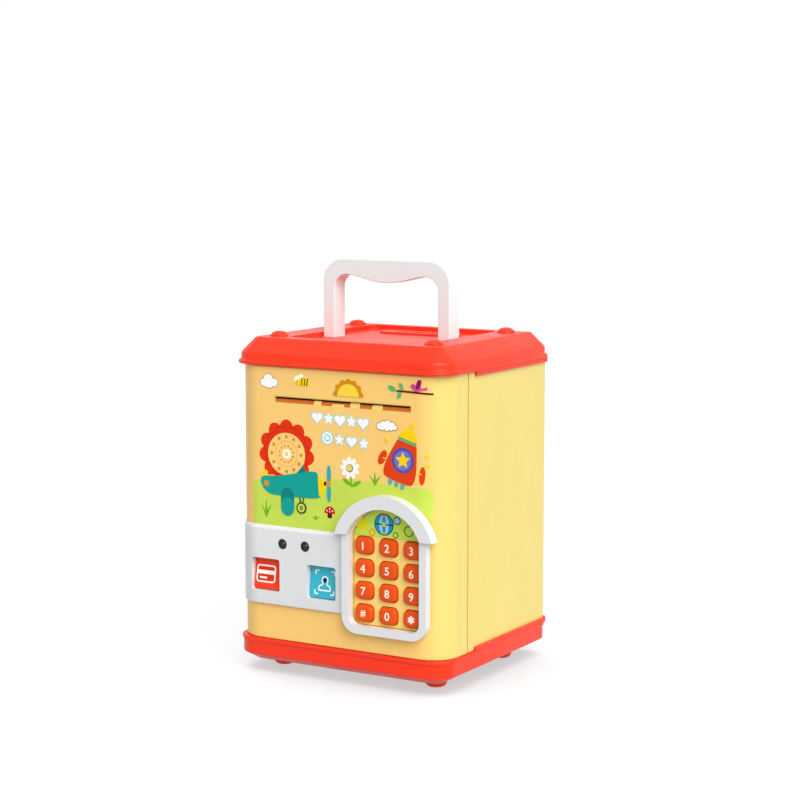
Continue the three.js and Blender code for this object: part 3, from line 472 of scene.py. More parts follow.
def rod(r, z0, z1, steps=24):
    """A plain round solid on the door's hinge axis, to join or to cut away."""
    return moved(lathe([(r, z0), (r, z1)], steps), PIVOT_X, PIVOT_Y)


def hinge_boss(z0, z1, bore_z0, bore_z1):
    return rod(3.6, z0, z1), rod(PIN_BORE_R, bore_z0, bore_z1)


def coin_outline(length, width, r, out=0, steps=10):
    """A rounded oblong round the coin slot's centre, grown outwards."""
    half, y0, y1 = length / 2, COIN["y"] - width / 2, COIN["y"] + width / 2
    return rounded_rect(-half - out, half + out, y0 - out, y1 + out, r + out, steps=steps)


def make_lid():
    floor = LID_TOP - RECESS["depth"]
    ceiling = floor - WALL
    under = [(HOLLOW_OUT - 4, ceiling), (HOLLOW_OUT, ceiling - 3.6)]
    outside = [(HOLLOW_OUT, LID_EDGE), (LID_RIM_OUT, LID_EDGE), (LID_RIM_OUT, LID_RIM)]
    outside += [(TRIM_OUT, LID_RIM + 0.35), (TRIM_OUT, LID_WALL), (CHAMFER_OUT, LID_TOP)]
    outside.append((CHAMFER_OUT - 3, LID_TOP))
    rings = [body_ring(out, z) for out, z in under]
    rings += [body_ring(out, z) for out, z in eased(outside, 0.9)]
    sunk = [(0.7, LID_TOP), (0, LID_TOP), (0, floor), (-0.7, floor)]
    for out, z in eased(sunk, 0.5, 3):
        outline = rounded_rect(-RECESS["half_x"] - out, RECESS["half_x"] + out, RECESS["y0"] - out,
                               RECESS["y1"] + out, RECESS["r"] + out, steps=12)
        rings.append([(x, y, z) for x, y in outline])
    lid = as_object(skin_rings(rings), "lid_fine")
    pad_rings = []
    for out, z in ((0, floor - 1), (0, floor + 0.8), (-0.15, floor + 1.05), (-0.5, floor + 1.2)):
        outline = coin_outline(COIN["pad_length"], COIN["pad_width"], COIN["pad_width"] / 2 - 0.5, out)
        pad_rings.append([(x, y, z) for x, y in outline])
    boss, bore = hinge_boss(LID_EDGE, LID_WALL + 0.9, LID_EDGE - 1, LID_EDGE + PIN_IN_CASE)
    join(lid, skin_rings(pad_rings), skirt(LID_SKIRT_Z, LID_EDGE + 0.5), boss)
    slot = coin_outline(COIN["length"], COIN["width"], 1.2, steps=5)
    cut(lid, bore, column(slot, ceiling - 4, LID_TOP))
    y0, y1 = HANDLE_Y0 + HANDLE_STOP - LEG_GAP, HANDLE_Y1 - HANDLE_STOP + LEG_GAP
    for x0 in (HANDLE_X0 - LEG_GAP, HANDLE_X1 - HANDLE_LEG - LEG_GAP):
        hole = rounded_rect(x0, x0 + HANDLE_LEG + 2 * LEG_GAP, y0, y1, 1.2, steps=5)
        cut(lid, column(hole, ceiling - 4, LID_TOP + 4))
    soften(lid, 0.25, 2)
    place(lid, "case", "red_plastic", red_plastic, "lid")


def make_base():
    floor = BASE_BOTTOM + WALL
    outside = [(CHAMFER_OUT - 3, BASE_BOTTOM), (CHAMFER_OUT, BASE_BOTTOM), (TRIM_OUT, BASE_WALL)]
    outside += [(TRIM_OUT, BASE_RIM - 0.35), (BASE_RIM_OUT, BASE_RIM), (BASE_RIM_OUT, BASE_EDGE)]
    outside.append((HOLLOW_OUT, BASE_EDGE))
    inside = [(HOLLOW_OUT, floor + 3.4), (HOLLOW_OUT - 5.5, floor)]
    rings = [body_ring(out, z) for out, z in eased(outside, 0.6)] + [body_ring(out, z) for out, z in inside]
    base = as_object(skin_rings(rings), "base_tray_fine")
    boss, bore = hinge_boss(BASE_WALL, BASE_EDGE, BASE_EDGE - PIN_IN_CASE, BASE_EDGE + 1)
    join(base, skirt(BASE_EDGE - 0.5, BASE_SKIRT_Z), boss)
    cut(base, bore)
    soften(base, 0.25, 2)
    place(base, "case", "red_plastic", red_plastic, "base_tray")


def make_body_shell():
    """Sides and back in one wall; the front strip stands a little proud of the side panels."""
    r = 4
    front = BODY_FRONT + 0.6
    strip_back = BODY_FRONT + 6.8
    step = 0.45
    side = HALF - step
    outer = [(HALF, front), (HALF, strip_back), (side, strip_back + step)]
    outer += arc(side - r, BACK - r, r, 0, 90, 10) + arc(-side + r, BACK - r, r, 90, 180, 10)
    outer += [(-side, strip_back + step), (-HALF, strip_back), (-HALF, front)]
    inner_x, inner_y = HALF - WALL, BACK - WALL
    inner = [(-inner_x, front)] + arc(-inner_x + 1.6, inner_y - 1.6, 1.6, 180, 90, 6)
    inner += arc(inner_x - 1.6, inner_y - 1.6, 1.6, 90, 0, 6) + [(inner_x, front)]
    shell = as_object(column(outer + inner, BODY_Z0, BODY_Z1), "body_shell_fine")
    x0, _, z0, x1, _, z1 = box_mm("battery_cover")
    hatch = rounded_rect(x0 - FIT, x1 + FIT, z0 - FIT, z1 + FIT, 1.2, steps=5)
    cut(shell, slab(hatch, BACK - 10, BACK + 10))
    soften(shell, 0.25)
    place(shell, "case", "yellow_plastic", yellow_plastic, "body_shell")


def make_caps_and_feet():
    for number in range(1, 5):
        x0, y0, z0, x1, y1, z1 = box_mm(f"lid_cap_{number}")
        x, y, r, height = (x0 + x1) / 2, (y0 + y1) / 2, (x1 - x0) / 2, z1 - z0
        dome = [(r, 0), (r, 0.5), (r * 0.97, 0.75), (r * 0.86, 0.95)]
        dome += [(r * 0.84 * math.cos(a), 0.95 + (height - 0.95) * math.sin(a))
                 for a in [math.radians(10 * i) for i in range(1, 9)]] + [(0.05, height)]
        cap = as_object(moved(lathe(dome), x, y, z0), f"lid_cap_{number}_fine")
        smooth(cap, 50)
        place(cap, "case", "red_plastic", red_plastic, f"lid_cap_{number}")
        x0, y0, z0, x1, y1, z1 = box_mm(f"foot_{number}")
        x, y, r = (x0 + x1) / 2, (y0 + y1) / 2, (x1 - x0) / 2
        profile = eased([(r * 0.4, z0), (r * 0.72, z0), (r, z0 + 1.6), (r, z1), (r * 0.6, z1)], 0.8)
        foot = as_object(moved(lathe([tuple(p) for p in profile]), x, y), f"foot_{number}_fine")
        smooth(foot, 60)
        place(foot, "case", "red_plastic", red_plastic, f"foot_{number}")


# ---- Handle -------------------------------------------------------------------------------------


def make_handle():
    """A square-cornered bow with a finger bulge under its bar and a stop foot on each leg."""
    bar, bulge, outer_r, inner_r = 8.8, 4.2, 13, 8
    half = HANDLE_X1
    inner = half - HANDLE_LEG
    under = HANDLE_TOP - bar
    outline = [(-half, HANDLE_Z0), (-inner, HANDLE_Z0)]
    outline += arc(-inner + inner_r, under - inner_r, inner_r, 180, 90, 14)
    width = inner - inner_r
    for i in range(1, 40):
        x = -width + 2 * width * i / 40
        outline.append((x, under - bulge * (0.5 + 0.5 * math.cos(math.pi * x / width)) ** 0.8))
    outline += arc(inner - inner_r, under - inner_r, inner_r, 90, 0, 14)
    outline += [(inner, HANDLE_Z0), (half, HANDLE_Z0)]
    outline += arc(half - outer_r, HANDLE_TOP - outer_r, outer_r, 0, 90, 20)
    outline += arc(-half + outer_r, HANDLE_TOP - outer_r, outer_r, 90, 180, 20)
    bow = as_object(slab(outline, HANDLE_Y0 + HANDLE_STOP, HANDLE_Y1 - HANDLE_STOP), "handle_fine")
    for x0 in (-half + 1.2, inner + 1.2):
        join(bow, block(x0, x0 + HANDLE_LEG - 2.4, HANDLE_Y0, HANDLE_Y1, HANDLE_Z0 + 1.2, HANDLE_Z0 + 3.4))
    soften(bow, 1.1, 4)
    place(bow, "handle", "handle_plastic", handle_plastic, "handle")


# ---- Door ---------------------------------------------------------------------------------------


def door_path(out, start_x, stop_x, back_y=None):
    """The door's plan outline from left to right at `out` beyond its face.

    It starts and stops at the given x. Where that is at or past a side of the door, it goes round the corner
    and along the side to back_y.
    """
    r = CORNER_R + out
    points = []
    if start_x <= -HALF:
        points.append((-HALF - out, back_y))
        if back_y > TURN_Y:
            points += arc(-TURN_X, TURN_Y, r, 180, 270, 24)
        else:
            points[0] = (-TURN_X - math.sqrt(r ** 2 - (TURN_Y - back_y) ** 2), back_y)
            points += [p for p in arc(-TURN_X, TURN_Y, r, 180, 270, 48) if p[1] < back_y]
    elif start_x < -TURN_X:
        start = 180 + math.degrees(math.acos((-TURN_X - start_x) / r))
        points += arc(-TURN_X, TURN_Y, r, start, 270, 14)
    else:
        points.append((start_x, FRONT - out))
    if stop_x >= HALF:
        points += arc(TURN_X, TURN_Y, r, -90, 0, 24) + [(HALF + out, back_y)]
    elif stop_x > TURN_X:
        stop = -math.degrees(math.acos((stop_x - TURN_X) / r))
        points += arc(TURN_X, TURN_Y, r, -90, stop, 14)
    else:
        points.append((stop_x, FRONT - out))
    return points


def door_skin(low, high, start_x, stop_x, z0, z1):
    """A shell that follows the door's face between two distances out from it."""
    return column(door_path(high, start_x, stop_x) + door_path(low, start_x, stop_x)[::-1], z0, z1)


def keypad_frame(inset):
    x0, x1 = KEYPAD_X - KEYPAD_HALF + inset, KEYPAD_X + KEYPAD_HALF - inset
    return rounded_rect(x0, x1, KEYPAD_Z0 + inset, FRAME_TOP, max(9.5 - inset, 1), 1.2, 12)


def arch(r, chord_z=SPRING_Z):
    start = math.degrees(math.asin((chord_z - ARCH_Z) / r))
    return arc(ARCH_X, ARCH_Z, r, start, 180 - start, 64)


def cut_window(piece, grow, y0, y1):
    cut(piece, slab(keypad_frame(BAND - grow), y0, y1), slab(arch(ARCH_INNER_R + grow), y0, y1))


def note_slot(grow, y0, y1):
    x, z = NOTE["x"], NOTE["z"]
    half, tall = NOTE["length"] / 2 + grow, NOTE["height"] / 2 + grow
    return slab(rounded_rect(x - half, x + half, z - tall, z + tall, 0.6, steps=4), y0, y1)


POCKETS = {"deposit_key": red_key_plastic, "face_key": blue_key_plastic}
POCKET_SLOTS = {"deposit_key": "red_key", "face_key": "blue_key"}
KEY_SLOPE = {"deposit_key": 2.8, "face_key": 2.2}


def pocket(name, grow, y0, y1):
    x0, _, z0, x1, _, z1 = box_mm(name)
    grow += FIT
    r = 1.6 + max(grow - FIT, 0)
    return slab(rounded_rect(x0 - grow, x1 + grow, z0 - grow, z1 + grow, r, steps=6), y0, y1)


def make_door_shell():
    door = as_object(column(door_path(0, -HALF, HALF, DOOR_BACK - 0.25), DOOR_Z0, DOOR_Z1), "door_shell_fine")
    cut(door, block(-HALF - 1, PIVOT_X, PIVOT_Y, DOOR_BACK + 1, DOOR_Z0 - 1, DOOR_Z1 + 1))
    cut(door, column(door_path(-WALL, -HALF, HALF, DOOR_BACK + 5), DOOR_Z0 + WALL, DOOR_Z1 - WALL))
    join(door, rod(BOSS_R, DOOR_Z0, DOOR_Z1, 48))
    for z0, z1 in ((DOOR_Z0 - 1, DOOR_Z0 + PIN_IN_DOOR), (DOOR_Z1 - PIN_IN_DOOR, DOOR_Z1 + 1)):
        cut(door, rod(PIN_BORE_R, z0, z1))
    cut(door, note_slot(0, FRONT - 1, FRONT + WALL + 1))
    cut_window(door, FIT, FRONT - 1, FRONT + WALL + 1)
    for name in POCKETS:
        cut(door, pocket(name, 1.5, FRONT - 1, POCKET_BACK))
    soften(door, 0.3)
    place(door, "door", "yellow_plastic", yellow_plastic, "door_shell")


def make_note_ramp():
    """The sill behind the note slot, with four finger tabs that keep a note flat as it feeds in."""
    x0, x1 = NOTE["x"] - NOTE["length"] / 2 + FIT, NOTE["x"] + NOTE["length"] / 2 - FIT
    low = NOTE["z"] - NOTE["height"] / 2
    under = low - 0.02
    profile = [(0.5, under), (2.2, under), (2.2, low + 2), (1.9, low + 2), (1.1, low + 0.3), (0.5, low + 0.1)]

    def bar(left, right, points):
        return skin_rings([[(x, FRONT + depth, z) for depth, z in points] for x in (left, right)])

    ramp = as_object(bar(x0, x1, profile), "note_ramp")
    soften(ramp, 0.15, 2)
    # The sill's amber-brown is painted shade for the inside of the note slot.
    place(ramp, "door", "yellow_plastic", sill_painted_shade_plastic)
    tabs = ((-12.5, 4.6, 2.3), (0.8, 7.5, 1.3), (11.6, 6, 2.7), (25.8, 6.4, 2.3))
    for number, (x, width, tall) in enumerate(tabs, 1):
        points = [(0.1, under), (0.48, under), (1, low + 0.25), (1.6, low + tall), (1.2, low + tall)]
        points.append((0.35, low + tall * 0.45))
        tab = as_object(bar(x - width / 2, x + width / 2, points), f"note_tab_{number}")
        soften(tab, 0.12, 2)
        place(tab, "door", "yellow_plastic", front_print)


def make_front_label():
    sheet = as_object(door_skin(0.05, LABEL_OUT, LABEL_X0, LABEL_X1, LABEL_Z0, LABEL_Z1), "front_sheet")
    cut(sheet, note_slot(0.5, FRONT - 2, FRONT + 2))
    cut_window(sheet, FIT, FRONT - 2, FRONT + 2)
    for name in POCKETS:
        cut(sheet, pocket(name, 1.5, FRONT - 2, FRONT + 12))
    smooth(sheet)
    place(sheet, "door", "printed_label", front_print, "front_label")


def make_sensor_panel():
    """Proud of the front, thinning out round the left corner, with a broad soft edge along its top."""
    side = 0.3
    outer = door_path(side, -HALF - 1, PANEL_X1 - 0.35, PANEL_BACK + PANEL_OUT - side)
    inner = door_path(LABEL_OUT + 0.05, -HALF - 1, PANEL_X1 - 0.35, PANEL_BACK)[::-1]

    def ring(out, z):
        return [(x, min(y - out + side, PANEL_BACK), z) for x, y in outer] + [(x, y, z) for x, y in inner]

    edges = [(0.8, PANEL_Z0), (PANEL_OUT, PANEL_Z0), (PANEL_OUT, PANEL_Z1 - 1.7), (PANEL_OUT - 1.3, PANEL_Z1)]
    panel = as_object(skin_rings([ring(out, z) for out, z in eased(edges, 0.5)[1:]]), "sensor_panel_fine")
    for name in POCKETS:
        join(panel, pocket(name, 1.2, PANEL_FRONT + 1, FRONT + 6.4))
    for name in POCKETS:
        cut(panel, pocket(name, 0, PANEL_FRONT - 1, POCKET_BACK))
    for number in (1, 2):
        x0, _, z0, x1, _, z1 = box_mm(f"sensor_lens_{number}")
        hole = moved(lathe([(3, 0), (3, 4)]), (x0 + x1) / 2, PANEL_FRONT + 1.4, (z0 + z1) / 2, FACING_FRONT)
        cut(panel, hole)
    soften(panel, 0.4)
    place(panel, "door", "pale_grey_plastic", grey_plastic, "sensor_panel")
    for number in (1, 2):
        x0, y0, z0, x1, y1, z1 = box_mm(f"sensor_lens_{number}")
        r, depth = (x1 - x0) / 2, y1 - y0
        profile = [(r, 0), (r, depth - 0.75), (r * 0.93, depth - 0.55), (r * 0.74, depth - 0.55)]
        profile += [(r * 0.7, depth - 0.9), (r * 0.62, depth - 0.9), (r * 0.5, depth - 0.45)]
        profile += [(r * 0.3, depth - 0.1), (0.05, depth)]
        glass = moved(lathe(profile), (x0 + x1) / 2, y1, (z0 + z1) / 2, FACING_FRONT)
        lens = as_object(glass, f"sensor_lens_{number}_fine")
        smooth(lens, 25)
        place(lens, "door", "black_lens", lens_plastic, f"sensor_lens_{number}")


def wedge_face(name):
    """A function from height to the y of a pocket key's sloping face."""
    _, low, z0, _, _, z1 = box_mm(name)
    return lambda z: low + KEY_SLOPE[name] * (z - z0) / (z1 - z0)


def make_pocket_keys():
    for name, material in POCKETS.items():
        x0, _, z0, x1, y1, z1 = box_mm(name)
        face = wedge_face(name)
        outline = rounded_rect(x0, x1, z0, z1, 1.3, steps=6)
        key = as_object(skin_rings([[(x, y1, z) for x, z in outline], [(x, face(z), z) for x, z in outline]]),
                        name + "_fine")
        soften(key, 0.45)
        place(key, name, POCKET_SLOTS[name], material, name)


def make_keypad():
    back = LABEL_FRONT - 0.05
    bezel = as_object(slab(keypad_frame(0), HOOD_FRONT + 2, back), "keypad_bezel_fine")
    join(bezel, slab(arch(ARCH_R), HOOD_FRONT, back))
    cut_window(bezel, 0, HOOD_FRONT - 3, back + 1)
    soften(bezel, 0.9, 4)
    place(bezel, "door", "pale_grey_plastic", grey_plastic, "keypad_bezel")

    plate = as_object(slab(keypad_frame(BAND), PLATE_FRONT, PLATE_BACK), "keypad_plate_fine")
    join(plate, slab(arch(ARCH_INNER_R), PLATE_FRONT, PLATE_BACK))
    for name in KEY_LABELS:
        x, z, width, height = key_place(name)
        x0, x1 = x - width / 2 - FIT, x + width / 2 + FIT
        hole = rounded_rect(x0, x1, z - height / 2 - FIT, z + height / 2 + FIT, 3.3, steps=6)
        cut(plate, slab(hole, PLATE_FRONT - 1, PLATE_BACK + 1))
    soften(plate, 0.2, 2)
    place(plate, "door", "printed_label", plate_print_lit_for_shade, "keypad_plate")

    inner = KEYPAD_HALF - BAND - 0.4
    outline = arch(ARCH_INNER_R - 0.4, SPRING_Z + 0.2)
    outline += [(KEYPAD_X - inner, ARCH_SHEET_Z), (KEYPAD_X + inner, ARCH_SHEET_Z)]
    label = as_object(slab(outline, PLATE_FRONT - ARCH_SHEET_OUT, PLATE_FRONT - 0.02), "arch_sheet")
    smooth(label)
    place(label, "door", "arch_print", ink["arch"], "arch_label")


KEY_LABELS = {f"key_{number}": str(number) for number in range(1, 10)}
KEY_LABELS.update({"key_hash": "#", "key_0": "0", "key_star": "*"})
KEY_FLANGE = 0.6
FLANGE_FRONT = FRONT + 3.6
NUMERAL = {"size": 6.3, "hash_size": 5.4, "depth": 0.1, "weight": 0.09}


def key_place(name):
    """Centre and visible width and height of a key cap."""
    x0, _, z0, x1, _, z1 = box_mm(name)
    return (x0 + x1) / 2, (z0 + z1) / 2, x1 - x0 - 2 * KEY_FLANGE, z1 - z0 - 2 * KEY_FLANGE


def make_key(name):
    x, z, width, height = key_place(name)
    _, front, _, _, back, _ = box_mm(name)
    profile = eased([(-1.5, back), (0, back), (-0.1, front + 0.7), (-1.5, front + 0.08)], 1.3, 6)
    profile = [tuple(p) for p in profile] + [(-2.2, front + 0.02), (-3.4, front)]
    rings = []
    for out, y in profile:
        half_x, half_z, r = width / 2 + out, height / 2 + out, max(3.2 + out * 0.7, 0.5)
        outline = rounded_rect(-half_x, half_x, -half_z, half_z, r, steps=6)
        rings.append([(x + u, y, z + v) for u, v in outline])
    cap = as_object(skin_rings(rings), name + "_fine")
    join(cap, block(x - width / 2 - KEY_FLANGE, x + width / 2 + KEY_FLANGE, FLANGE_FRONT, FLANGE_FRONT + 0.9,
                    z - height / 2 - KEY_FLANGE, z + height / 2 + KEY_FLANGE))
    smooth(cap, 40)
    place(cap, name, "orange_key", key_plastic, name)
    return x, z, front


def numeral_mesh(text):
    """A raised numeral, or the hash, in the plane of the letter's own axes."""
    font = bpy.data.curves.new("numeral", "FONT")
    font.body = text
    font.size = NUMERAL["hash_size" if text == "#" else "size"] * MM
    font.extrude = NUMERAL["depth"] * MM
    font.offset = NUMERAL["weight"] * MM
    font.align_x = "CENTER"
    font.align_y = "CENTER"
    font.resolution_u = 6
    holder = bpy.data.objects.new("numeral", font)
    bpy.context.scene.collection.objects.link(holder)
    graph = bpy.context.evaluated_depsgraph_get()
    mesh = bpy.data.meshes.new_from_object(holder.evaluated_get(graph))
    bpy.data.objects.remove(holder)
    return mesh


def make_keys():
    for name, label in KEY_LABELS.items():
        x, z, front = make_key(name)
        if label == "*":
            numeral = as_object(slab(petals(x, z, 1.3, 2.3, 6), front - 0.12, front + 0.1), name + "_mark")
        else:
            mesh = numeral_mesh(label)
            mesh.transform(Matrix.Translation(Vector((x, front - 0.03, z)) * MM) @ FACING_FRONT)
            low = min(v.co.z for v in mesh.vertices) / MM
            high = max(v.co.z for v in mesh.vertices) / MM
            mesh.transform(Matrix.Translation(Vector((0, 0, z - (low + high) / 2)) * MM))
            numeral = bpy.data.objects.new(name + "_mark", mesh)
            bpy.context.scene.collection.objects.link(numeral)
            mesh.materials.clear()
        place(numeral, name, "orange_key", ink["numeral"])


# ---- Printed art --------------------------------------------------------------------------------


def disc(x, z, rx, rz=None, tilt=0, steps=36):
    """An ellipse, turned by tilt degrees."""
    rz = rx if rz is None else rz
    c, s = math.cos(math.radians(tilt)), math.sin(math.radians(tilt))
    return [(x + u * c - v * s, z + u * s + v * c) for u, v in
            [(rx * math.cos(a), rz * math.sin(a)) for a in [2 * math.pi * i / steps for i in range(steps)]]]


def petals(x, z, inner, outer, count, turn=90, steps=8):
    """A flower or star outline with round lobes."""
    points = []
    for i in range(count * steps):
        a = math.radians(turn) + 2 * math.pi * i / (count * steps)
        r = inner + (outer - inner) * abs(math.cos(count * (a - math.radians(turn)) / 2)) ** 0.8
        points.append((x + r * math.cos(a), z + r * math.sin(a)))
    return points


def star(x, z, r, points=5, waist=0.5, turn=90):
    corners = []
    for i in range(2 * points):
        a = math.radians(turn + 180 * i / points)
        reach = r if i % 2 == 0 else r * waist
        corners.append((x + reach * math.cos(a), z + reach * math.sin(a)))
    return curve(corners, 3, 0.35)


def heart(x, z, r, steps=40):
    points = []
    for i in range(steps):
        t = 2 * math.pi * i / steps
        points.append((x + r * math.sin(t) ** 3, z + r * (0.8 * math.cos(t) - 0.32 * math.cos(2 * t)
                                                        - 0.12 * math.cos(3 * t) - 0.06 * math.cos(4 * t))))
    return points


def curve(points, steps=6, tension=0.5):
    """A smooth closed outline through the points."""
    result = []
    count = len(points)
    for i in range(count):
        p0, p1, p2, p3 = [Vector(points[(i + k) % count]) for k in (-1, 0, 1, 2)]
        out_slope, in_slope = (p2 - p0) * tension, (p3 - p1) * tension
        for k in range(steps):
            t = k / steps
            result.append(tuple(p1 * (2 * t ** 3 - 3 * t ** 2 + 1) + out_slope * (t ** 3 - 2 * t ** 2 + t)
                                + p2 * (-2 * t ** 3 + 3 * t ** 2) + in_slope * (t ** 3 - t ** 2)))
    return result


def stroke(points, width):
    """A ribbon of even width along an open line."""
    points = [Vector(p) for p in points]
    left, right = [], []
    for i, here in enumerate(points):
        along = (points[min(i + 1, len(points) - 1)] - points[max(i - 1, 0)]).normalized()
        side = Vector((-along.y, along.x)) * width / 2
        left.append(tuple(here + side))
        right.append(tuple(here - side))
    return left + right[::-1]


def spots(colour, *places):
    """One mark for each (x, z, radius) or (x, z, radius, other radius, tilt)."""
    return [(disc(*place), colour) for place in places]


def lines(colour, width, *paths):
    return [(stroke(path, width), colour) for path in paths]


def ring_marks(x, z, r, width, colour, inside):
    return spots(colour, (x, z, r)) + spots(inside, (x, z, r - width))


def blades(x, z, height, spread, colour, count=3):
    """A tuft of pointed grass blades that fan out from one place."""
    marks = []
    for i in range(count):
        lean = (i - (count - 1) / 2) * spread
        top = height * (1 - 0.25 * abs(lean) / spread)
        middle = x + lean * 0.45
        outline = [(x - 0.55, z), (middle - 0.7, z + top * 0.45), (x + lean * 1.5, z + top)]
        outline += [(middle + 0.7, z + top * 0.4), (x + 0.55, z)]
        marks.append((curve(outline, 5, 0.4), colour))
    return marks


def cloud(x, z, lobes):
    """White puffs with one thin dark outline round them all."""
    edge = spots("outline", *[(x + u, z + v, r + 0.35) for u, v, r in lobes])
    return edge + spots("white", *[(x + u, z + v, r) for u, v, r in lobes])


def sky_marks():
    marks = cloud(-43.8, 165.4, [(-3.6, -0.6, 2.1), (-0.6, 1.4, 3.0), (3.4, -0.4, 2.3), (0.4, -1.4, 2.2),
                                 (-1.8, -1.2, 2.0)])
    marks += cloud(32.3, 145.4, [(-4.6, 0.1, 1.7), (-2.2, 1.1, 1.9), (0.6, 1.4, 2.2), (3.4, 0.8, 1.8),
                                 (5.2, -0.1, 1.3), (0.2, -0.7, 1.6), (-2.8, -0.6, 1.4), (2.9, -0.5, 1.4)])
    return marks + bee_marks() + sun_marks() + twig_marks()


def bee_marks():
    marks = spots("white", (-25, 168, 2.2, 1.7, 30), (-23, 168.9, 1.9, 1.4, 60))
    marks += spots("yellow", (-20.6, 166.3, 3.6, 2.5, -15), (-24.6, 166, 1.6))
    marks += spots("dark", (-25.2, 166.3, 0.35))
    for x in (-22.2, -20.4, -18.8):
        marks += lines("dark", 0.6, [(x, 164.4 - (x + 20) * 0.12), (x + 0.5, 168.4 - (x + 20) * 0.1)])
    return marks


def sun_marks():
    rays = [(8 - 9.2, 160.1)]
    for i in range(13):
        a = math.radians(172 - 164 * i / 12)
        r = 9.9 if i % 2 == 0 else 8.7
        rays.append((8 + r * math.cos(a), 160.3 + r * math.sin(a)))
    rays.append((8 + 9.2, 160.1))
    return [(rays, "sun_ray"), (arc(8, 160.2, 6.9, 0, 180, 30), "sun")]


def twig_marks():
    """A bird on a leafy twig, and three small stars."""
    marks = lines("brown", 0.95, [(38.5, 165.3), (48, 165.1), (59.8, 164.5)])
    leaves = ((35.6, 166.4, 2.6, 1.4, -24), (41.4, 167.8, 2.1, 1.1, 118), (40.2, 163, 2.0, 1.2, 70))
    marks += spots("leaf", *leaves)
    marks += lines("leaf", 0.4, [(34.2, 166.9), (38.8, 165.2)])
    marks += spots("pink", (51, 167.3, 2.9, 1.7, -8), (48.8, 168.3, 1.3))
    marks += [([(53, 167), (57, 168.2), (56.8, 166.4), (53, 166.2)], "pink"),
              (curve([(50.4, 167.4), (51.6, 171.4), (53.6, 171.6), (53.2, 168.4), (52, 166.8)], 4), "plum"),
              ([(47.8, 168.6), (46.5, 168), (47.7, 167.7)], "orange")]
    marks += spots("dark", (48.7, 168.5, 0.3))
    return marks + [(star(x, z, 1.5), "yellow") for x, z in ((32.3, 138.5), (56.8, 131), (57.2, 126))]


def cheer_marks():
    """Two rows of hearts and stars, white with a pale blue edge."""
    marks = []
    for i in range(5):
        x, z = -12.2 + 7.4 * i, 147.6 - 0.35 * i
        form = heart if i % 2 == 0 else star
        marks += [(form(x, z, 4.2), "sky"), (form(x, z, 3.5), "white")]
    for i in range(4):
        x, z = -5.6 + 7.8 * i, 136.6 - 0.5 * i
        form = star if i % 2 else heart
        if i == 0:
            marks += ring_marks(x, z, 3.9, 0.6, "sky", "white") + ring_marks(x, z, 2.1, 0.8, "sky", "white")
        else:
            marks += [(form(x, z, 4.0), "sky"), (form(x, z, 3.3), "white")]
    return marks


def ground_marks():
    """Green ground that ends on the sensor panel and round the keypad hood."""
    left, right, bottom, r = -55.4, 59.9, PANEL_Z1 + 0.05, ARCH_R + 0.15
    steps = 40
    top = [(left + (right - left) * i / steps, 109 + 5.4 * math.sin(math.pi * (i / steps) ** 0.8 * 0.72))
           for i in range(steps + 1)]
    start = math.degrees(math.acos((right - ARCH_X) / r))
    stop = 180 - math.degrees(math.asin((bottom - ARCH_Z) / r))
    marks = [([(left, bottom)] + top + arc(ARCH_X, ARCH_Z, r, start, stop, 40), "grass")]
    marks += blades(-46.3, 89.4, 9.5, 2.4, "tuft") + blades(24.8, 113.2, 7.2, 2.6, "tuft")
    marks += blades(-13.4, 90.6, 2.6, 1.9, "tuft")
    marks += [(curve([(-5.3, 95.6), (-5.6, 92.6), (-4.2, 92.2), (-2.8, 92.6), (-3.1, 95.6)], 4), "brown"),
              (arc(-4.2, 95.3, 3.4, -8, 188, 24), "deep_red")]
    dots = ((-6, 96.3, 0.42), (-4.2, 97.4, 0.45), (-2.4, 96.4, 0.42), (-4.2, 95.8, 0.36))
    return marks + spots("white", *dots)


def flower_marks():
    """A big red bloom with a cream heart and a ring of seeds, riding in the toy plane."""
    x, z = -32.5, 126.6
    marks = [(petals(x, z, 15.4, 18.4, 11, 90), "red"), (petals(x, z, 12.8, 14.9, 11, 74), "deep_red"),
             (petals(x, z, 12.5, 14.4, 11, 74), "red")]
    z -= 1
    marks += spots("cream", (x, z, 12.3, 11.9)) + spots("blush", (x, z, 7.6)) + spots("cream", (x, z, 6.9))
    seeds = 12
    for i in range(seeds):
        a = 2 * math.pi * i / seeds
        marks += spots("sun_ray", (x + 9.7 * math.cos(a), z + 9.7 * math.sin(a), 0.95))
        marks += spots("orange", (x + 4.6 * math.cos(a + 0.26), z + 4.6 * math.sin(a + 0.26), 0.6))
    return marks + spots("white", (x, z, 2.6)) + spots("sun", (x, z, 1.3))


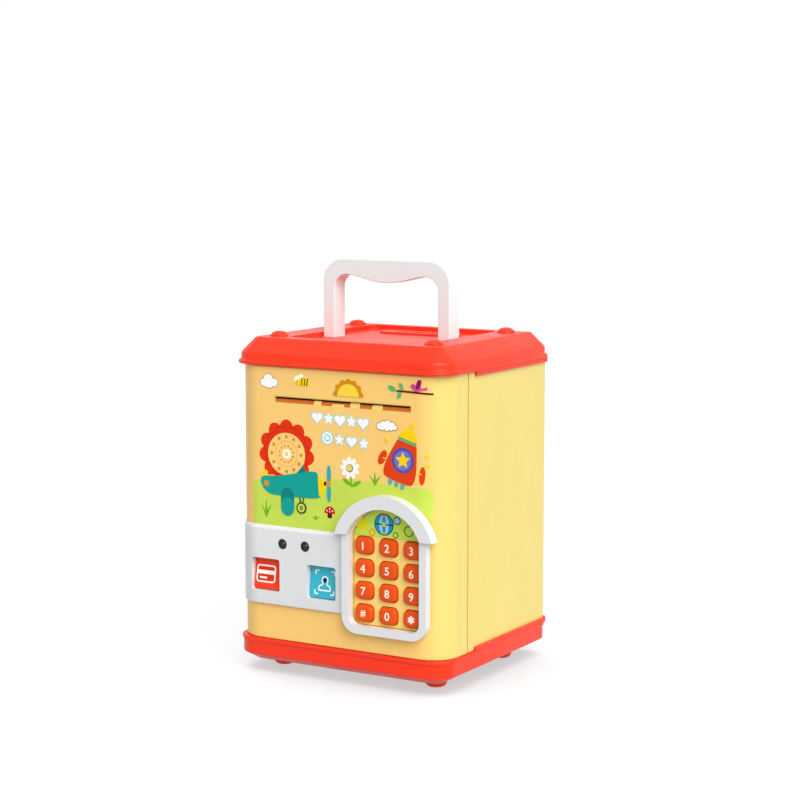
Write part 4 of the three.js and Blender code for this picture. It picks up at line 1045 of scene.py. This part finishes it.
def plane_marks():
    body = [(-49.6, 110.4), (-47.2, 112.4), (-38, 113), (-24, 115.8), (-12.9, 117), (-11.6, 110),
            (-10.6, 103.2), (-22, 102), (-36, 102), (-43.6, 102.6), (-48.2, 106)]
    nose = [(-11.5, 115), (-8.4, 112.6), (-7.4, 109.6), (-8.4, 105.6), (-10.8, 103.8), (-11.4, 109)]
    marks = spots("yellow", (-47.4, 113.6, 2.6, 1.6, 35))
    marks += [([(-26, 115), (-21.6, 120.2), (-18.8, 115.6)], "deep_teal"), (curve(body, 5, 0.42), "teal")]
    marks += spots("sun_ray", (-45.9, 108.2, 1.7)) + spots("orange", (-45.9, 108.2, 1.1))
    marks += [(rounded_rect(-36.2, -27.6, 91.2, 106.8, 4.2, steps=8), "deep_teal"),
              (rounded_rect(-36, -27.8, 91, 101.5, 4.1, steps=8), "teal"), (curve(nose, 4, 0.4), "yellow")]
    marks += spots("blade", (-4.6, 116.4, 1.25, 5.2), (-4.6, 106.2, 1.25, 5.2))
    marks.append(([(-7.8, 112.2), (-5.6, 112), (-5.6, 110.4), (-7.8, 110.2)], "dark"))
    marks += spots("orange", (-4.9, 111.3, 1.5))
    marks += lines("dark", 0.45, [(-23.8, 102), (-22.7, 96.4)], [(-21.2, 102), (-22.5, 96.4)])
    for r, width in ((3.2, 0.75), (1.1, 0.6)):
        marks += ring_marks(-22.7, 96.2, r, width, "dark", "grass")
    return marks


def daisy_marks():
    """A white daisy on a short stem with two leaves."""
    x, z = 8.8, 121
    marks = lines("tuft", 0.8, [(x + 1.2, 110.8), (x + 1, 114.5), (x + 0.2, 118)])
    marks += spots("tuft", (x - 1.8, 113.4, 3, 1.1, -32), (x + 4.4, 112.8, 3.1, 1.1, 30))
    count = 9
    for i in range(count):
        a = 2 * math.pi * i / count + 0.3
        marks += spots("white", (x + 3.7 * math.cos(a), z + 3.7 * math.sin(a), 2.6, 1.35, math.degrees(a)))
    return marks + spots("grey", (x, z, 2.3)) + spots("sun", (x - 0.2, z + 0.2, 1.7))


def rocket_marks():
    """A leaning rocket with a yellow nose and a star in its porthole."""
    base, lean = Vector((38.9, 116.2)), math.radians(-16)
    c, s = math.cos(lean), math.sin(lean)

    def at(u, v):
        return base.x + u * c - v * s, base.y + u * s + v * c

    def turned(points):
        return [at(u, v) for u, v in points]

    tilt = math.degrees(lean)
    body = turned([(-9.9, 3.4), (-8, 0.5), (0, -0.2), (8, 0.5), (9.9, 3.4), (9.6, 9), (7.6, 17), (5.4, 23),
                   (0, 23.8), (-5.4, 23), (-7.6, 17), (-9.6, 9)])
    collar = turned([(-6, 22.2), (6, 22.2), (5.2, 24.6), (-5.2, 24.6)])
    nose = turned([(-5.4, 24.2), (5.4, 24.2), (4.6, 27), (2.2, 29.6), (-2.2, 29.6), (-4.6, 27)])
    marks = spots("rocket", (*at(-12.4, 9.4), 2.2, 4.4, tilt - 12), (*at(13.6, 8.2), 1.7, 5, tilt + 12))
    marks += lines("yellow", 0.6, [at(-12, 9.4), at(-7, 10)], [at(8, 8.8), at(13, 8.8)])
    marks += spots("jet", *[(*at(u, -1.2), 1.4, 2.2, tilt) for u in (-4.2, -0.2, 3.8)])
    marks += [(curve(body, 5, 0.42), "rocket"), (collar, "leaf"), (curve(nose, 5, 0.4), "yellow")]
    marks += spots("yellow", (*at(0.4, 31.6), 1.5))
    x, z = at(0.2, 12.2)
    return marks + spots("purple", (x, z, 7)) + spots("lilac", (x, z, 5.4)) + [(star(x, z, 4.7), "yellow")]


def balloon_marks():
    """A striped blue ball among juggling rings, for the arch sheet."""
    x, z, r = 29.6, 91.6, 5.6
    marks = spots("blob", (15.6, 90.6, 3.8)) + spots("navy", (x, z, r + 0.5)) + spots("blue", (x, z, r))
    marks += spots("ear", (x, z, r * 0.55, r)) + spots("blue", (x, z, r * 0.2, r))
    marks += spots("orange", (x, z + r - 0.6, 1.1, 0.6), (x, z - r + 0.6, 1.1, 0.6))
    marks += lines("navy", 0.7, [(x - r, z), (x + r, z)]) + [(star(x, z, 1.6), "yellow")]
    marks += ring_marks(37.8, 94.4, 2.3, 0.6, "ring_green", "ear")
    marks += ring_marks(45.2, 89.3, 3.0, 0.6, "ring_green", "arch")
    marks += ring_marks(22.2, 86.6, 1.9, 0.5, "orange", "blob")
    return marks + ring_marks(36.9, 86.4, 1.7, 0.5, "ring_green", "arch")


def card_marks():
    x0, x1, z0, z1 = -54.1, -41.3, 51.4, 61.2
    return [(rounded_rect(x0, x1, z0, z1, 1.8, steps=6), "white"),
            (rounded_rect(x0 + 0.85, x1 - 0.85, z0 + 0.85, z1 - 0.85, 1.1, steps=6), "red"),
            (rounded_rect(x0 + 0.2, x1 - 0.2, 56.1, 58.2, 0.2, steps=3), "white"),
            (rounded_rect(x0 + 2.3, x0 + 7.2, 53.6, 54.6, 0.45, steps=4), "white")]


def person_marks():
    """A head and shoulders in outline, inside four frame corners."""
    x, z, reach, arm, line = -8.4, 55.4, 6.2, 2.2, 0.7
    marks = []
    for side in (-1, 1):
        for up in (-1, 1):
            u, v = x + side * reach, z + up * (reach + 0.2)
            marks += lines("white", line, [(u - side * arm, v), (u, v)], [(u, v), (u, v - up * arm)])
    head = arc(x, z + 1.4, 1.9, -50, 230, 20)
    shoulders = [(1.1, -0.2), (1.3, -1.2), (3.5, -2), (4, -4.3)]
    shoulders += [(-u, v) for u, v in shoulders[::-1]]
    outline = [tuple(p) for p in eased([(x + u, z + v) for u, v in shoulders], 0.7)]
    return marks + lines("white", line, head, outline) + spots("navy", (x, z + 1.3, 1.15, 1.35))


INK_STEP = 0.03
FOLDS = 8
FOLD_WIDTH = 1.15


def print_marks(name, marks, surface, body, slot):
    """Thin layers of ink, each above the last; surface(x, z, height) gives the y of a point above the sheet.

    A mark that reaches a corner of the door is divided by upright folds, so that it can bend round it.
    """
    names = sorted({colour for _, colour in marks})
    bm = bmesh.new()
    for layer, (outline, colour) in enumerate(marks):
        height = INK_STEP * (layer * 0.25 + 1)
        part = bmesh.new()
        part.faces.new([part.verts.new((x, 0, z)) for x, z in outline])
        if max(abs(x) for x, _ in outline) > TURN_X:
            bmesh.ops.triangulate(part, faces=part.faces)
            for i in range(FOLDS):
                for side in (-1, 1):
                    plane = side * (TURN_X + FOLD_WIDTH * i)
                    bmesh.ops.bisect_plane(part, geom=part.verts[:] + part.edges[:] + part.faces[:],
                                           plane_co=(plane, 0, 0), plane_no=(1, 0, 0))
        base = part.faces[:]
        grown = bmesh.ops.extrude_face_region(part, geom=base)
        tops = {v for v in grown["geom"] if isinstance(v, bmesh.types.BMVert)}
        for v in part.verts:
            x, z = v.co.x, v.co.z
            v.co = Vector((x, surface(x, z, height if v in tops else -0.02), z)) * MM
        bmesh.ops.recalc_face_normals(part, faces=part.faces)
        for face in part.faces:
            face.material_index = names.index(colour)
        scratch = bpy.data.meshes.new("scratch")
        part.to_mesh(scratch)
        part.free()
        bm.from_mesh(scratch)
        bpy.data.meshes.remove(scratch)
    piece = as_object(bm, name)
    smooth(piece, 30)
    return place(piece, body, slot, [ink[n] for n in names])


def front_surface(x, z, height):
    """The y of a point above the printed sheet, round the door's corners too."""
    out = LABEL_OUT + height
    past = abs(x) - TURN_X
    if past <= 0:
        return FRONT - out
    return TURN_Y - math.sqrt((CORNER_R + out) ** 2 - past ** 2)


def make_art():
    groups = (("art_ground", 0, ground_marks), ("art_sky", 0, sky_marks), ("art_cheer", 0, cheer_marks),
              ("art_flower", 0, flower_marks), ("art_plane", 0.25, plane_marks),
              ("art_daisy", 0.13, daisy_marks), ("art_rocket", 0.13, rocket_marks))
    for name, lift, marks in groups:

        def surface(x, z, height, lift=lift):
            return front_surface(x, z, height + (lift if height > 0 else 0))

        print_marks(name, marks(), surface, "door", "printed_label")

    def on_plate(x, z, height):
        return PLATE_FRONT - ARCH_SHEET_OUT - height

    print_marks("art_arch", balloon_marks(), on_plate, "door", "arch_print")
    for name, marks in (("deposit_key", card_marks), ("face_key", person_marks)):

        def on_key(x, z, height, face=wedge_face(name)):
            return face(z) - height

        print_marks(name + "_mark", marks(), on_key, name, POCKET_SLOTS[name])


# ---- Pieces inside ------------------------------------------------------------------------------


def make_batteries():
    for number in range(1, 4):
        x0, y0, z0, x1, y1, z1 = box_mm(f"battery_{number}")
        r, nub, band = (y1 - y0) / 2, 1.0, 14
        profile = [(1, x0), (r - 0.6, x0), (r, x0 + 0.6), (r, x1 - nub - 0.5), (r - 0.7, x1 - nub)]
        profile += [(2.7, x1 - nub), (2.6, x1 - 0.2), (2.2, x1), (0.5, x1)]
        profile = eased(profile, 0.4, 2)
        cell = as_object(moved(lathe([tuple(p) for p in profile]), 0, (y0 + y1) / 2, (z0 + z1) / 2, ALONG_X),
                         f"battery_{number}_fine")
        smooth(cell, 40)
        for face in cell.data.polygons:
            x = face.center.x / MM
            if abs(face.normal.x) > 0.9 or x > x1 - nub - 0.3:
                face.material_index = 2
            elif x > x1 - band:
                face.material_index = 1
        place(cell, "case", "battery_sleeve", [sleeve, sleeve_band, zinc], f"battery_{number}")


def make_rollers():
    """Rubber rollers with round shoulders and shallow grip grooves, on the steel shaft."""
    for number in range(1, 4):
        x0, y0, z0, x1, y1, z1 = box_mm(f"feed_roller_{number}")
        r = (y1 - y0) / 2
        profile = [(2, x0), (r - 0.6, x0), (r, x0 + 0.6)]
        grooves = 5
        for i in range(grooves):
            at = x0 + (x1 - x0) * (i + 1) / (grooves + 1)
            profile += [(r, at - 0.4), (r - 0.35, at - 0.2), (r - 0.35, at + 0.2), (r, at + 0.4)]
        profile += [(r, x1 - 0.6), (r - 0.6, x1), (2, x1)]
        drum = moved(lathe(profile), 0, (y0 + y1) / 2, (z0 + z1) / 2, ALONG_X)
        roller = as_object(drum, f"feed_roller_{number}_fine")
        smooth(roller, 30)
        place(roller, "feed_drive", "roller_rubber", rubber, f"feed_roller_{number}")


def dress(node, material, edge):
    """Gives a carried CAD node its material and softly rounded edges."""
    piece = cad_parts[node]
    piece.data.materials.clear()
    piece.data.materials.append(material)
    weld = piece.modifiers.new("weld", "WELD")
    weld.merge_threshold = 0.002 * MM
    flat = piece.modifiers.new("flat_faces", "DECIMATE")
    flat.decimate_type = "DISSOLVE"
    flat.angle_limit = math.radians(1)
    bevel = piece.modifiers.new("soft_edges", "BEVEL")
    bevel.width = edge * MM
    bevel.segments = 2
    bevel.limit_method = "ANGLE"
    bevel.angle_limit = math.radians(32)
    bevel.harden_normals = True
    piece.data.polygons.foreach_set("use_smooth", [True] * len(piece.data.polygons))


def dress_inside():
    looks = (
        (yellow_plastic, 0.4, "front_frame door_liner feed_housing"),
        (yellow_plastic, 0.3, "battery_cover"),
        (grey_plastic, 0.25, "handle_guide_left handle_guide_right"),
        (black_plastic, 0.25, "battery_box speaker latch_housing"),
        (zinc, 0.15, "battery_cover_screw hinge_pin_bottom hinge_pin_top strike_plate"),
        (zinc, 0.15, "feed_motor feed_shaft latch_bolt"),
        (nylon, 0.08, "drive_gear idler_gear motor_pinion"),
        (board_material, 0.1, "keypad_board"),
    )
    for material, edge, nodes in looks:
        for node in nodes.split():
            dress(node, material, edge)


# ---- Floor, light and camera --------------------------------------------------------------------


def by_ray(nodes, links, ray, other, chosen):
    """A brightness that is `chosen` for one kind of light ray and `other` for the rest."""
    path = nodes.new("ShaderNodeLightPath")
    number = nodes.new("ShaderNodeMapRange")
    number.inputs["To Min"].default_value = other
    number.inputs["To Max"].default_value = chosen
    links.new(path.outputs[ray], number.inputs["Value"])
    return number.outputs[0]


def make_floor():
    """A wide white table that glows a little; its glow is painted darker near the toy, a painted contact
    shadow that is faint and grey.
    """
    size = 14 / MM
    floor = as_object(skin_rings([[(-size, -size, z), (size, -size, z), (size, size, z), (-size, size, z)]
                                  for z in (-20, 0)]), "floor")
    s = Surface("pale_floor_painted_shadow")
    nodes, links = s.material.node_tree.nodes, s.material.node_tree.links
    # Painted shadow: the floor's glow is dimmed where ambient occlusion finds the toy close by.
    painted_shadow_ao = nodes.new("ShaderNodeAmbientOcclusion")
    painted_shadow_ao.samples = 8
    painted_shadow_ao.inputs["Distance"].default_value = 0.09
    glow_with_painted_shadow = s.between(painted_shadow_ao.outputs["AO"], (0.62, 0.62, 0.63, 1), (1, 1, 1, 1))
    s.set(Base_Color=s.between(s.noise(3, 2), (0.11, 0.11, 0.11, 1), (0.12, 0.12, 0.12, 1)), Roughness=0.8,
          Specular_IOR_Level=0.1, Emission_Color=glow_with_painted_shadow,
          Emission_Strength=by_ray(nodes, links, "Is Diffuse Ray", 0.885, 0.42))
    floor.data.materials.append(s.material)


def make_world():
    """White behind the toy and in its gloss, and a softer grey light on its surfaces."""
    world = bpy.data.worlds.new("studio")
    world.use_nodes = True
    nodes, links = world.node_tree.nodes, world.node_tree.links
    nodes["Background"].inputs["Color"].default_value = (1, 1, 1, 1)
    links.new(by_ray(nodes, links, "Is Diffuse Ray", 1.02, 0.55), nodes["Background"].inputs["Strength"])
    bpy.context.scene.world = world
    bpy.context.scene.view_settings.view_transform = "Standard"


def pointing(azimuth, height):
    """A unit vector towards a place at azimuth degrees right of the front and height degrees up."""
    turn, rise = math.radians(azimuth), math.radians(height)
    return Vector((math.sin(turn) * math.cos(rise), -math.cos(turn) * math.cos(rise), math.sin(rise)))


def aim(thing, toward):
    """Puts a light or a camera in the scene, looking along the line from `toward` to the origin."""
    thing.rotation_mode = "QUATERNION"
    thing.rotation_quaternion = (-toward).to_track_quat("-Z", "Y")
    bpy.context.scene.collection.objects.link(thing)


def make_sun():
    """One big soft light from the right, a little above the front."""
    data = bpy.data.lights.new("soft_sun", "SUN")
    data.energy = math.pi
    data.angle = math.radians(50)
    sun = bpy.data.objects.new("soft_sun", data)
    sun.location = pointing(57, 38)
    aim(sun, pointing(57, 38))


def make_camera():
    data = bpy.data.cameras.new("camera")
    data.sensor_width = 36
    data.lens = 94.2
    data.clip_start, data.clip_end = 0.05, 60
    camera = bpy.data.objects.new("camera", data)
    camera.location = (0.6074, -1.0123, 0.2997)
    aim(camera, pointing(30.73, 7.155))
    bpy.context.scene.camera = camera


STEPS = (make_camera, make_floor, make_world, make_sun, make_lid, make_base, make_body_shell,
         make_caps_and_feet, make_handle, make_door_shell, make_note_ramp, make_front_label,
         make_sensor_panel, make_pocket_keys, make_keypad, make_keys, make_art, make_batteries, make_rollers,
         dress_inside)
for step in STEPS:
    step()
